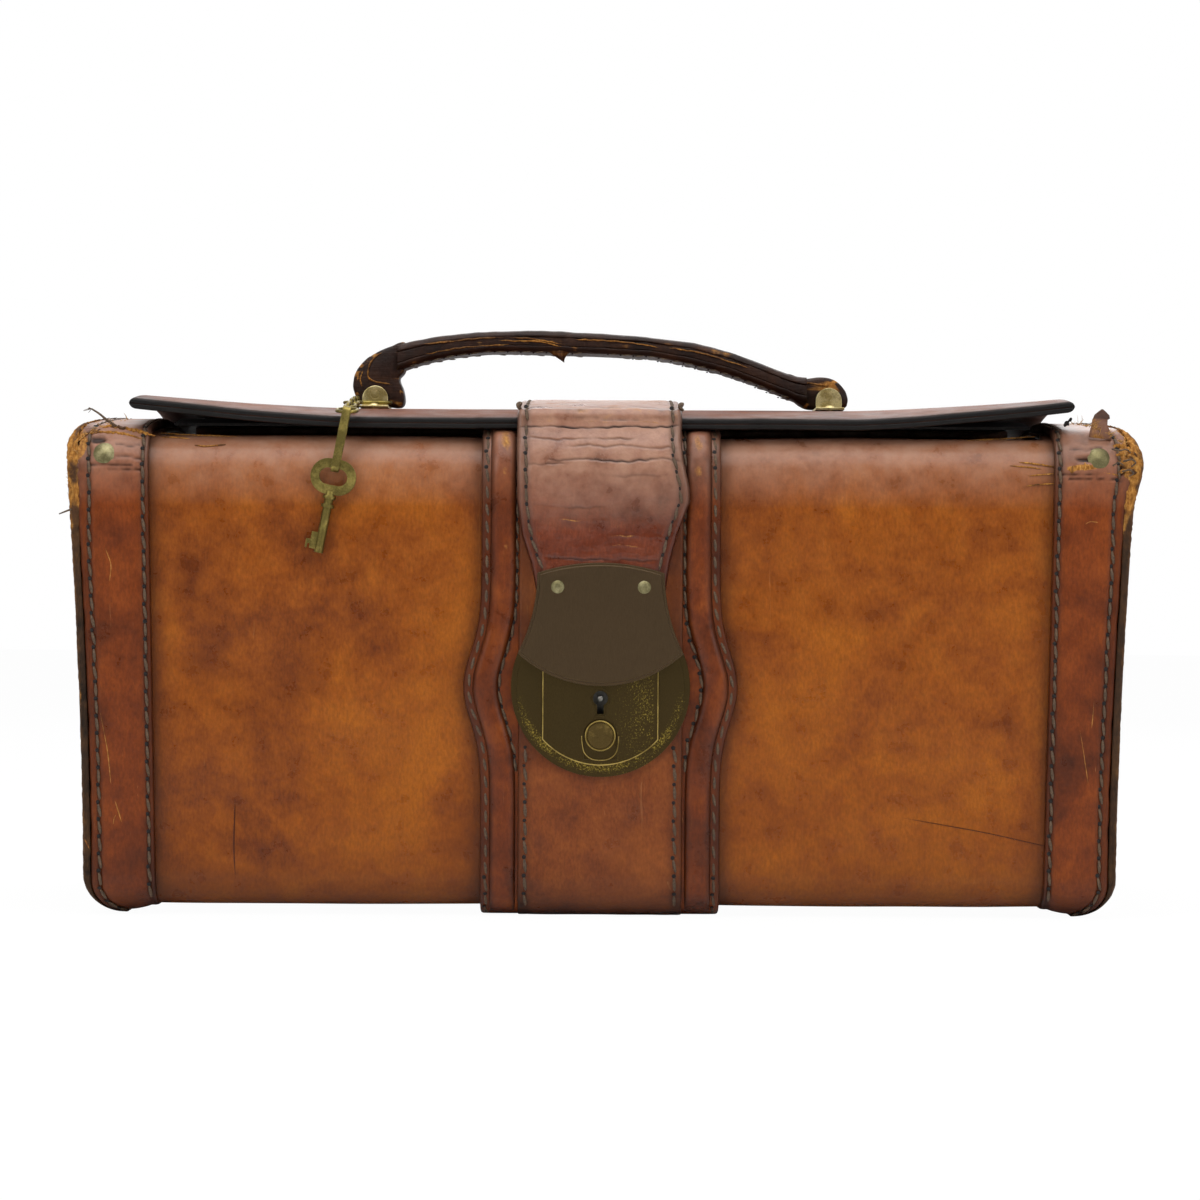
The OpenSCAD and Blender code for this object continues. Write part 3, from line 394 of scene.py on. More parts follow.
def band_section(edge: list[tuple[float, float]], w: float, top: float, count: int) -> tuple[np.ndarray, np.ndarray]:
    """The cross-section of a band: its rounded edge, its top and the edge mirrored.

    Args:
        edge: distances across and heights of the first edge.
        w: the band's width.
        top: height of its top.
        count: points on the top.

    Returns:
        The distances across and the heights.
    """
    start = edge[-1][0]
    flat = [(start + (w - 2 * start) * (i + 1) / (count + 1), top) for i in range(count)]
    section = np.array(edge + flat + [(w - u, o) for u, o in reversed(edge)])
    return section[:, 0], section[:, 1]


def bake_modifiers(piece: bpy.types.Object) -> None:
    """Turns a piece with its modifiers into a plain mesh."""
    bpy.context.view_layer.update()
    shaped = piece.evaluated_get(bpy.context.evaluated_depsgraph_get())
    mesh = bpy.data.meshes.new_from_object(shaped)
    old = piece.data
    piece.modifiers.clear()
    piece.data = mesh
    mesh.name = piece.name
    bpy.data.meshes.remove(old)


def cut_box(piece: bpy.types.Object, low: tuple[float, float, float], high: tuple[float, float, float]) -> None:
    """Cuts a square opening through a piece, between two corners in millimetres."""
    mesh = bpy.data.meshes.new("cutter")
    shape = bmesh.new()
    bmesh.ops.create_cube(shape, size=1.0)
    for v in shape.verts:
        v.co = Vector((low[k] + (high[k] - low[k]) * (v.co[k] + 0.5)) * MM for k in range(3))
    shape.to_mesh(mesh)
    shape.free()
    cutter = bpy.data.objects.new("cutter", mesh)
    bpy.context.scene.collection.objects.link(cutter)
    cut = piece.modifiers.new("cut", "BOOLEAN")
    cut.object = cutter
    cut.operation = "DIFFERENCE"
    cut.solver = "EXACT"
    bake_modifiers(piece)
    bpy.data.objects.remove(cutter)
    bpy.data.meshes.remove(mesh)


def place(piece: bpy.types.Object, body: str, slot: str, *nodes: str) -> bpy.types.Object:
    """Lets a piece ride on a body, and hides the nodes that it stands for."""
    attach(piece, body)
    if nodes:
        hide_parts(*nodes)
    log.info("%s: %d faces on %s", piece.name, len(piece.data.polygons), body)
    return piece


def tube_rows(points: Sequence[Sequence[float]], radius: Callable[[float], float], sides: int) -> np.ndarray:
    """Rings of points round a line.

    Args:
        points: the line's points.
        radius: the tube's radius at a share of its length.
        sides: points in a ring.

    Returns:
        An array of (rings, sides, 3).
    """
    line = np.array(points, float)
    way = np.gradient(line, axis=0)
    way /= np.linalg.norm(way, axis=1)[:, None]
    side = np.cross(way, [0.31, 0.9, 0.3])
    side /= np.linalg.norm(side, axis=1)[:, None]
    up = np.cross(side, way)
    angles = np.linspace(0, 2 * math.pi, sides, endpoint=False)
    radii = np.array([radius(t) for t in np.linspace(0, 1, len(line))])
    ring = np.cos(angles)[None, :, None] * side[:, None] + np.sin(angles)[None, :, None] * up[:, None]
    return line[:, None] + ring * radii[:, None, None]


def smooth_line(knots: Sequence[Sequence[float]], count: int) -> np.ndarray:
    """A softly bent line through points, as an array of (count, 3)."""
    given = np.array(knots, float)
    t = np.linspace(0, 1, count)
    line = np.column_stack([np.interp(t, np.linspace(0, 1, len(given)), given[:, k]) for k in range(3)])
    reach = count // 8
    window = np.ones(2 * reach + 1) / (2 * reach + 1)
    padded = np.pad(line, ((reach, reach), (0, 0)), mode="edge")
    soft = np.column_stack([np.convolve(padded[:, k], window, mode="valid") for k in range(3)])
    soft[0], soft[-1] = given[0], given[-1]
    return soft


# Finishes


class Grain(Enum):
    """How a leather's face was left."""

    SMOOTH = 0.5
    CREASED = 1.0
    FLESH = 1.8


class Graph:
    """Short ways to add the nodes that the trees share; each gives back the new node's output."""

    def __init__(self, tree: bpy.types.NodeTree, at: Socket | None = None) -> None:
        """Works on a tree, with its coordinates in millimetres."""
        self.tree = tree
        self.at = at

    def node(self, kind: str, props: dict, given: dict, output: int | str = 0) -> Socket:
        """Adds a node.

        Args:
            kind: the node's type.
            props: its attributes.
            given: numbers or source sockets by input name or index.
            output: name or index of the output that is wanted.

        Returns:
            That output.
        """
        links = {key: value for key, value in given.items() if isinstance(value, Socket)}
        values = {key: value for key, value in given.items() if key not in links}
        return add(self.tree, kind, props, values, links).outputs[output]

    def noise(self, scale: float, detail: float, roughness: float, at: Socket | None = None,
              distortion: float = 0.0) -> Socket:
        """Noise of 0 to 1, at the graph's own coordinates unless others are given."""
        return self.node("ShaderNodeTexNoise", {}, {
            "Vector": self.at if at is None else at, "Scale": scale, "Detail": detail, "Roughness": roughness,
            "Distortion": distortion}, "Fac")

    def remap(self, value: Socket, low: float, high: float, to_low: float = 0.0, to_high: float = 1.0) -> Socket:
        """Maps low to high onto other limits, and holds the value between them."""
        return self.node("ShaderNodeMapRange", {}, {
            "Value": value, "From Min": low, "From Max": high, "To Min": to_low, "To Max": to_high})

    def maths(self, kind: str, *terms: Socket | float, clamp: bool = False) -> Socket:
        """One sum on numbers or sockets."""
        return self.node("ShaderNodeMath", {"operation": kind, "use_clamp": clamp}, dict(enumerate(terms)))

    def vector(self, kind: str, first: Socket, second: tuple[float, float, float]) -> Socket:
        """One sum on vectors."""
        return self.node("ShaderNodeVectorMath", {"operation": kind}, {0: first, 1: second})

    def scaled(self, vector: Socket, by: Socket | float) -> Socket:
        """A vector or colour times a number."""
        return self.node("ShaderNodeVectorMath", {"operation": "SCALE"}, {0: vector, "Scale": by})

    def part(self, vector: Socket, axis: str) -> Socket:
        """One coordinate of a vector."""
        return self.node("ShaderNodeSeparateXYZ", {}, {0: vector}, axis)

    def joined(self, x: Socket | float = 0.0, y: Socket | float = 0.0, z: Socket | float = 0.0) -> Socket:
        """A vector from its coordinates."""
        return self.node("ShaderNodeCombineXYZ", {}, {"X": x, "Y": y, "Z": z})

    def mix(self, share: Socket, under: Socket | str, over: Socket | str) -> Socket:
        """Lays one colour over another by a share; colours are sockets or hex."""
        given = {0: share, 6: under, 7: over}
        given = {key: linear(value) if isinstance(value, str) else value for key, value in given.items()}
        return self.node("ShaderNodeMix", {"data_type": "RGBA"}, given, 2)

    def ramp(self, value: Socket, *stops: tuple[float, str]) -> Socket:
        """A colour ramp through positions and hex colours."""
        return self.node("ShaderNodeValToRGB", {"stops": stops}, {"Fac": value}, "Color")

    def mask(self, name: str) -> Socket:
        """One of the mesh's wear masks."""
        return self.node("ShaderNodeAttribute", {"attribute_name": name}, {}, "Fac")

    def bump(self, height: Socket, strength: float, distance: float) -> Socket:
        """A fine relief; the distance is in metres."""
        return self.node("ShaderNodeBump", {}, {"Height": height, "Strength": strength, "Distance": distance})

    def wire(self, shader: bpy.types.Node, given: dict[str, Socket | float]) -> None:
        """Sets a shader's inputs to sockets or numbers."""
        for name, value in given.items():
            if isinstance(value, Socket):
                self.tree.links.new(value, shader.inputs[name])
            else:
                shader.inputs[name].default_value = value


def new_material(name: str) -> tuple[bpy.types.Material, Graph, bpy.types.Node]:
    """Starts a node material.

    Returns:
        The material, its graph in Object coordinates, and its shader node.
    """
    material = bpy.data.materials.new(name)
    material.use_nodes = True
    graph = Graph(material.node_tree)
    graph.at = graph.scaled(graph.node("ShaderNodeTexCoord", {}, {}, "Object"), 1 / MM)
    return material, graph, material.node_tree.nodes["Principled BSDF"]


@dataclass(frozen=True)
class LeatherFinish:
    """Vegetable-tanned cowhide, glazed by hand and handled for decades.

    Attributes:
        name: the material's name.
        light: colour of the clear patches.
        mid: the common colour.
        dark: colour of the stained patches.
        seam: colour that the worn mask lays on: dirt along edges and stitches, painted shade along the welts and on the
            hinge, and a darkening towards the foot.
        grain: how the face was left.
        patch: size of the stains.
        roughness: middle of the roughness.
        shoulder: share of the painted pink-grey sheen on the upper edge, a highlight laid into the colour.
        scratches: share of the light scratches.
        gloss: specular level of the glaze.
        drawn: stretch of the small stains along X, Y and Z.
        sheen_from: height where the painted sheen begins.
    """

    name: str
    light: str
    mid: str
    dark: str
    seam: str
    grain: Grain = Grain.SMOOTH
    patch: float = 38.0
    roughness: float = 0.42
    shoulder: float = 0.0
    scratches: float = 0.0
    gloss: float = 0.2
    drawn: tuple[float, float, float] = (1.0, 1.0, 1.0)
    sheen_from: float = 131.0
    # Sizes of the small stains, pores, grain cells and creases, and the height over which the painted sheen grows
    MOTTLE, PORE, CELL, CREASE, BLOOM_RUN = 8.5, 0.85, 1.1, 3.2, 20.0
    # Colours that all leathers share; the first is the tint of the painted sheen, a highlight laid into the colour
    BLOOM, SCRATCH, BLACKED, CRACK = "#9A7460", "#B98450", "#0A0706", "#2A150C"
    FIBRE = ((0.3, "#6A421C"), (0.5, "#93622A"), (0.7, "#B38443"))

    def build(self) -> bpy.types.Material:
        """Makes the material: cloudy stains, edges and seams darkened by dirt and in places by painted shade, raw
        edges, a painted sheen on the upper edge, fine grain under a worn glaze.
        """
        material, g, shader = new_material(self.name)
        pulled = g.vector("MULTIPLY", g.at, self.drawn)
        cloud = g.noise(1 / self.patch, 3.0, 0.55, distortion=0.6)
        mottle = g.noise(1 / self.MOTTLE, 6.0, 0.62, pulled)
        pore = g.noise(1 / self.PORE, 3.0, 0.65, g.vector("MULTIPLY", g.at, (1.0, 1.0, 0.42)))
        tone = g.maths("MULTIPLY_ADD", mottle, 0.42, g.maths("MULTIPLY", cloud, 0.58))
        colour = g.ramp(tone, (0.34, self.dark), (0.485, self.mid), (0.63, self.light))
        colour = g.scaled(colour, g.remap(pore, 0.3, 0.7, 0.74, 1.14))
        # Painted sheen: a pink-grey highlight mixed into the colour above a height, patchy with the mottle
        if self.shoulder:
            sheen = g.remap(g.part(g.at, "Z"), self.sheen_from, self.sheen_from + self.BLOOM_RUN, 0.0, self.shoulder)
            patchy = g.remap(mottle, 0.3, 0.62, 0.4)
            colour = g.mix(g.maths("MULTIPLY", sheen, patchy, clamp=True), colour, self.BLOOM)
        if self.scratches:
            marks = g.noise(0.9, 4.0, 0.7, g.vector("MULTIPLY", g.at, (0.9, 1.0, 0.05)), distortion=0.8)
            colour = g.mix(g.remap(marks, 0.69, 0.75, 0.0, self.scratches), colour, self.SCRATCH)
        # The worn mask darkens towards the seam colour: dirt along edges and stitches, and painted shade on the welts
        # and the hinge
        dirt = g.remap(mottle, 0.25, 0.75, 0.55, 1.15)
        colour = g.mix(g.maths("MULTIPLY", g.mask("worn"), dirt, clamp=True), colour, self.seam)
        bare = g.remap(g.maths("ADD", g.mask("raw"), mottle), 0.92, 1.12)
        colour = g.mix(bare, colour, g.ramp(pore, *self.FIBRE))
        colour = g.mix(g.mask("edge"), colour, self.BLACKED)
        colour = g.mix(g.mask("crack"), colour, self.CRACK)
        glaze = g.remap(mottle, 0.3, 0.7, self.roughness - 0.1, self.roughness + 0.12)
        cell = g.node("ShaderNodeTexVoronoi", {"feature": "F1"},
                      {"Vector": g.at, "Scale": 1 / self.CELL, "Randomness": 1.0}, "Distance")
        crease = g.noise(1 / self.CREASE, 4.0, 0.6, pulled, distortion=1.4)
        g.wire(shader, {
            "Base Color": colour,
            "Roughness": g.maths("MULTIPLY_ADD", bare, 0.35, glaze, clamp=True),
            "Normal": g.bump(g.maths("MULTIPLY_ADD", cell, 0.35, crease), 0.45, 0.00028 * self.grain.value),
            "Specular IOR Level": self.gloss,
        })
        return material


@dataclass(frozen=True)
class MetalFinish:
    """Brass or bronze sheet and wire with its patina.

    Attributes:
        name: the material's name.
        bare: colour of the metal where it is rubbed.
        patina: colour of the skin that time left.
        dirt: colour of what collects in corners.
        share: middle of the noise at which patina gives way to bare metal.
        roughness: roughness of the patina.
        brushed: stretch of the brush marks along X, Y and Z.
        rubbed_round: height of the lock's middle, whose rim is rubbed to specks, or 0.
    """

    name: str
    bare: str
    patina: str
    dirt: str
    share: float = 0.56
    roughness: float = 0.38
    brushed: tuple[float, float, float] = (1.0, 1.0, 1.0)
    rubbed_round: float = 0.0
    PATCH = 6.0  # size of the patina's patches

    def specks(self, g: Graph, patch: Socket, pits: Socket) -> Socket:
        """Share of bare metal on the lock: specks on its lower rim, and beside the keyhole.

        Args:
            g: the material's graph.
            patch: the noise of the patina.
            pits: the noise of the pits.

        Returns:
            The share.
        """
        flat = g.vector("MULTIPLY", g.vector("SUBTRACT", g.at, (0, 0, self.rubbed_round)), (1.0, 0.0, 1.0))
        reach = g.node("ShaderNodeVectorMath", {"operation": "LENGTH"}, {0: flat}, "Value")
        x, z = g.part(flat, "X"), g.part(flat, "Z")
        ring = g.maths("MULTIPLY", g.remap(reach, 23.8, 25.4), g.remap(reach, 28.0, 26.4))
        low = g.maths("MULTIPLY", ring, g.remap(z, 1.0, -12.0))
        rim = g.maths("MULTIPLY", low, g.remap(patch, 0.34, 0.56))
        column = g.maths("MULTIPLY", g.remap(x, 1.0, 15.0), g.remap(x, 17.6, 16.6))
        zone = g.maths("MAXIMUM", rim, g.maths("MULTIPLY", column, g.remap(patch, 0.3, 0.75)))
        pitted = g.maths("MULTIPLY_ADD", zone, 0.1, pits)
        return g.maths("MULTIPLY", g.remap(pitted, 0.59, 0.7), g.remap(zone, 0.02, 0.4))

    def build(self) -> bpy.types.Material:
        """Makes the material: a patchy skin over metal, with fine brush marks."""
        material, g, shader = new_material(self.name)
        patch = g.noise(1 / self.PATCH, 7.0, 0.68)
        marks = g.noise(2.6, 3.0, 0.6, g.vector("MULTIPLY", g.at, self.brushed))
        pits = g.noise(1.7, 5.0, 0.75)
        share = g.remap(patch, self.share - 0.07, self.share + 0.07)
        if self.rubbed_round:
            share = g.maths("MAXIMUM", self.specks(g, patch, pits), share)
        colour = g.mix(share, self.patina, self.bare)
        colour = g.mix(g.remap(pits, 0.38, 0.28, 0.0, 0.6), colour, self.dirt)
        g.wire(shader, {
            "Base Color": g.scaled(colour, g.remap(marks, 0.3, 0.7, 0.82, 1.12)),
            "Roughness": g.remap(pits, 0.3, 0.7, self.roughness - 0.08, self.roughness + 0.16),
            "Metallic": 1.0,
            "Normal": g.bump(g.maths("ADD", marks, pits), 0.35, 0.00006),
        })
        return material


@dataclass(frozen=True)
class FibreFinish:
    """Thread, cloth or pulp board, which have no gloss.

    Attributes:
        name: the material's name.
        light: colour of the raised fibres.
        dark: colour between them.
        weave: distance between threads, or 0 where nothing is woven.
        roughness: the roughness.
    """

    name: str
    light: str
    dark: str
    weave: float = 0.0
    roughness: float = 0.85
    TURN = 0.31  # the wave texture's scale for one thread in each millimetre

    def build(self) -> bpy.types.Material:
        """Makes the material: fibres, or two crossing sets of threads."""
        material, g, shader = new_material(self.name)
        height = g.noise(1.4, 4.0, 0.7)
        if self.weave:
            height = g.maths("MULTIPLY", *(
                g.node("ShaderNodeTexWave", {"wave_type": "BANDS", "bands_direction": way},
                       {"Vector": g.at, "Scale": self.TURN / self.weave, "Distortion": 0.3}, "Fac")
                for way in ("X", "DIAGONAL")))
        g.wire(shader, {
            "Base Color": g.ramp(height, (0.3, self.dark), (0.68, self.light)),
            "Roughness": self.roughness,
            "Normal": g.bump(height, 0.5, 0.0002),
        })
        return material


FINISHES = {
    # Front hide: clear tan with cloudy brown stains and a soft glaze
    "hide": LeatherFinish("Tan_cowhide_glazed", "#94510F", "#80410D", "#5E2B0C", "#341808",
                          patch=40, roughness=0.33, shoulder=0.9, scratches=0.2),
    # Bands: the same hide, redder and darker from handling
    "band": LeatherFinish("Band_cowhide_glazed", "#7C3A0E", "#662D0C", "#441D0B", "#271108",
                          patch=26, roughness=0.36, shoulder=0.75, scratches=0.7),
    # Strip between the welts: the same hide, duller
    "strip": LeatherFinish("Strip_cowhide_dull", "#80441B", "#6E3716", "#512712", "#2E160B", patch=26, roughness=0.36,
                           scratches=0.4),
    # Welts: padded leather with a red tinge, the darkest of the front
    "welt": LeatherFinish("Welt_leather", "#7A3B12", "#622C10", "#421D0D", "#271108", patch=20, roughness=0.33,
                         shoulder=0.5, scratches=0.4),
    # Strap: reddish brown, creased and cracked across
    "strap": LeatherFinish("Strap_cowhide_creased", "#70341A", "#5C2815", "#421B10", "#241009",
                           grain=Grain.CREASED, patch=22, roughness=0.34, shoulder=0.95, scratches=0.5, gloss=0.3,
                           sheen_from=123.0),
    # Lid: stiff dark leather, blacked on its cut edges
    "lid": LeatherFinish("Lid_leather_stiff", "#84471F", "#6A3417", "#412010", "#20110B",
                         grain=Grain.CREASED, patch=30, roughness=0.55, scratches=0.3),
    # Handle: stacked leather, black with hand grease where it isn't torn
    "handle": LeatherFinish("Handle_leather_stacked", "#432716", "#2F190F", "#1B0F0A", "#120A07",
                            grain=Grain.FLESH, patch=11, roughness=0.5, drawn=(0.16, 1.4, 2.6)),
    # End seam: cut edges of several layers, unsealed
    "raw": LeatherFinish("Raw_cut_leather", "#8A5C2C", "#5E3B1C", "#33200F", "#1E130A", grain=Grain.FLESH, patch=9,
                         roughness=0.72),
    # Lock and hasp: bronze gone olive-brown, rubbed to brass on the lower rim
    "bronze": MetalFinish("Bronze_patinated", "#A98A3C", "#514230", "#241C10", share=0.76, roughness=0.40,
                          brushed=(5.0, 1.0, 0.25)),
    "lock": MetalFinish("Bronze_lock_plate", "#A8923E", "#443821", "#201809", share=0.80, roughness=0.38,
                        brushed=(2.5, 1.0, 0.6), rubbed_round=LOCK_Z),
    # Release button: bronze polished by thumbs
    "button": MetalFinish("Bronze_button", "#88733F", "#5A4A2A", "#2B2115", share=0.58, roughness=0.30),
    # Edges of the lock rubbed to bare bronze; their light colour is also a painted highlight on the cover's outline and
    # the button's rim
    "rubbed": MetalFinish("Bronze_edge_rubbed_highlit", "#B49C58", "#8A763F", "#4A3D22", share=0.5, roughness=0.4),
    # Brackets and rivets: dull cream-gold brass
    "brass": MetalFinish("Brass_aged", "#EADAA4", "#B7A268", "#5E5030", share=0.48, roughness=0.34),
    # Corner and hasp rivets: brass gone grey-green
    "rivet": MetalFinish("Brass_rivet_dull", "#8E8765", "#6E6748", "#3C3726", share=0.52, roughness=0.5),
    # Key: greenish brass
    "key": MetalFinish("Brass_key", "#96864A", "#6B5F33", "#332B18", share=0.54, roughness=0.44),
    # Inside of the lock: plain steel
    "steel": MetalFinish("Steel_plain", "#8C8A84", "#6A6760", "#3A3630", share=0.5, roughness=0.42),
    # Sewing: waxed linen thread, brown with dirt
    "thread": FibreFinish("Linen_thread_waxed", "#5F4830", "#2A1D14", roughness=0.7),
    "pale_thread": FibreFinish("Linen_thread_bare", "#8A7D66", "#463C30"),
    "fibre": FibreFinish("Leather_fibre_raw", "#B98B4A", "#7A5226", roughness=0.8),
    # Awl holes: near-black dots, painted shade that stands in for the shaded pits of the holes
    "hole": FibreFinish("Awl_hole", "#170D08", "#0C0705", roughness=0.9),
    # Lining: woven cotton
    "linen": FibreFinish("Cotton_lining", "#8C7A60", "#5C4C3A", weave=0.9),
    # Lining and rails at the mouth: near-black, painted shade for the dark gap under the lid
    "sooty": FibreFinish("Cotton_lining_painted_shade", "#1A120D", "#0C0806", weave=0.9, roughness=0.9),
    # Stiffening: pressed pulp board
    "board": FibreFinish("Pulp_board", "#A08C6C", "#6E5C42"),
}


class Palette:
    """The built materials by their short names."""

    def __init__(self) -> None:
        """Builds each finish once."""
        self.made = {key: finish.build() for key, finish in FINISHES.items()}

    def __getitem__(self, key: str) -> bpy.types.Material:
        """The material of that short name."""
        return self.made[key]


# Sewing


@dataclass(frozen=True)
class Stitching:
    """Rows of saddle stitches, made by one geometry node tree.

    Attributes:
        pitch: distance from hole to hole.
        length: length of the thread that shows.
        width: width of the thread.
        height: how far it stands proud.
        slant: turn of each stitch from the seam, in degrees.
        wander: random turn, in degrees.
        seed: seed of the random turns.
    """

    pitch: float = 5.5
    length: float = 4.6
    width: float = 1.15
    height: float = 1.0
    slant: float = 7.0
    wander: float = 5.0
    seed: int = 3

    TREE = "saddle_stitches"
    SIZES = ("Pitch", "Length", "Width", "Height", "Slant", "Wander")

    @classmethod
    def tree(cls) -> bpy.types.NodeTree:
        """The node tree: a stitch and a dark awl hole, painted shade for the hole's pit, on each point of the path, a
        pitch apart.
        """
        if cls.TREE in bpy.data.node_groups:
            return bpy.data.node_groups[cls.TREE]
        tree = bpy.data.node_groups.new(cls.TREE, "GeometryNodeTree")
        inputs = [("Path", "Geometry")] + [(name, "Float") for name in cls.SIZES]
        for name, kind in inputs + [("Seed", "Int"), ("Thread", "Material"), ("Hole", "Material")]:
            tree.interface.new_socket(name, in_out="INPUT", socket_type=f"NodeSocket{kind}")
        tree.interface.new_socket("Stitches", in_out="OUTPUT", socket_type="NodeSocketGeometry")
        given = add(tree, "NodeGroupInput").outputs
        g = Graph(tree)
        curve = g.node("GeometryNodeMeshToCurve", {}, {"Mesh": given["Path"]})
        points = add(tree, "GeometryNodeCurveToPoints", {"mode": "LENGTH"}, None,
                     {"Curve": curve, "Length": given["Pitch"]}).outputs
        lie = g.node("GeometryNodeInputNamedAttribute", {"data_type": "FLOAT_VECTOR"}, {"Name": "lie"}, "Attribute")
        upright = g.node("FunctionNodeAlignRotationToVector", {"axis": "Z"}, {"Vector": lie})
        along = g.node("FunctionNodeAlignRotationToVector", {"axis": "X", "pivot_axis": "Z"},
                       {"Rotation": upright, "Vector": points["Tangent"]})
        turn = g.node("FunctionNodeRandomValue", {"data_type": "FLOAT"}, {
            2: g.maths("SUBTRACT", given["Slant"], given["Wander"]),
            3: g.maths("ADD", given["Slant"], given["Wander"]), "Seed": given["Seed"]}, 1)
        turned = g.node("FunctionNodeRotateRotation", {"rotation_space": "LOCAL"}, {
            "Rotation": along, "Rotate By": g.node("FunctionNodeEulerToRotation", {}, {0: g.joined(z=turn)})})

        def ball(rings: int, size: Socket, at: Socket, material: Socket) -> Socket:
            """A stretched ball of one material."""
            mesh = g.node("GeometryNodeMeshUVSphere", {}, {"Segments": 8, "Rings": rings, "Radius": 0.5}, "Mesh")
            moved = g.node("GeometryNodeTransform", {}, {"Geometry": mesh, "Scale": size, "Translation": at})
            return g.node("GeometryNodeSetMaterial", {}, {"Geometry": moved, "Material": material})

        thread = ball(6, g.joined(given["Length"], given["Width"], given["Height"]), g.joined(), given["Thread"])
        # The hole is a flat near-black ball half a pitch back: painted shade for its pit
        wide = g.maths("MULTIPLY", given["Width"], 1.25)
        hole = ball(4, g.joined(wide, wide, g.maths("MULTIPLY", given["Height"], 0.3)),
                    g.joined(g.maths("MULTIPLY", given["Pitch"], -0.5)), given["Hole"])
        both = add(tree, "GeometryNodeJoinGeometry")
        for part in (thread, hole):
            tree.links.new(part, both.inputs[0])
        placed = g.node("GeometryNodeInstanceOnPoints", {}, {
            "Points": points["Points"], "Instance": both.outputs[0], "Rotation": turned})
        real = g.node("GeometryNodeRealizeInstances", {}, {0: placed})
        smooth = g.node("GeometryNodeSetShadeSmooth", {}, {"Geometry": real})
        add(tree, "NodeGroupOutput", None, None, {0: smooth})
        return tree

    def sew(self, name: str, rows: Sequence[np.ndarray], palette: Palette,
            thread: str = "thread") -> bpy.types.Object:
        """Sews along paths.

        Args:
            name: the piece's name.
            rows: paths, each an array of (points, 6): a place and the outward direction there.
            palette: the materials.
            thread: short name of the thread's material.

        Returns:
            The stitches as a plain mesh.
        """
        mesh = bpy.data.meshes.new(name)
        ends = np.cumsum([len(r) for r in rows])
        edges = [(k, k + 1) for k in range(ends[-1] - 1) if k + 1 not in ends]
        data = np.vstack(rows)
        mesh.from_pydata((data[:, :3] * MM).tolist(), edges, [])
        lie = mesh.attributes.new("lie", "FLOAT_VECTOR", "POINT")
        lie.data.foreach_set("vector", data[:, 3:].astype(np.float32).ravel())
        piece = bpy.data.objects.new(name, mesh)
        bpy.context.scene.collection.objects.link(piece)
        modifier = piece.modifiers.new("sewing", "NODES")
        modifier.node_group = self.tree()
        sizes = (self.pitch * MM, self.length * MM, self.width * MM, self.height * MM, math.radians(self.slant),
                 math.radians(self.wander))
        given = dict(zip(self.SIZES, sizes)) | {
            "Seed": self.seed, "Thread": palette[thread], "Hole": palette["hole"]}
        for item in modifier.node_group.interface.items_tree:
            if item.name in given:
                modifier[item.identifier] = given[item.name]
        bake_modifiers(piece)
        return piece


def seam_on_case(half_at: Callable[[np.ndarray, np.ndarray, int], np.ndarray], side: int, s: np.ndarray,
                 o: float) -> np.ndarray:
    """A sewing path on the case's outline.

    Args:
        half_at: gives the distance from the middle, from y, z and the side.
        side: -1 on the left, 1 on the right.
        s: distances along the end view's outline.
        o: distance outside the hide.

    Returns:
        The path as an array of (points, 6).
    """
    y, z = PATH.at(s, o)
    z = np.maximum(z, STITCH_Z)
    out_y, out_z = PATH.outward(s)
    return np.column_stack([side * half_at(y, z, side), y, z, np.zeros_like(y), out_y, out_z])


# Body


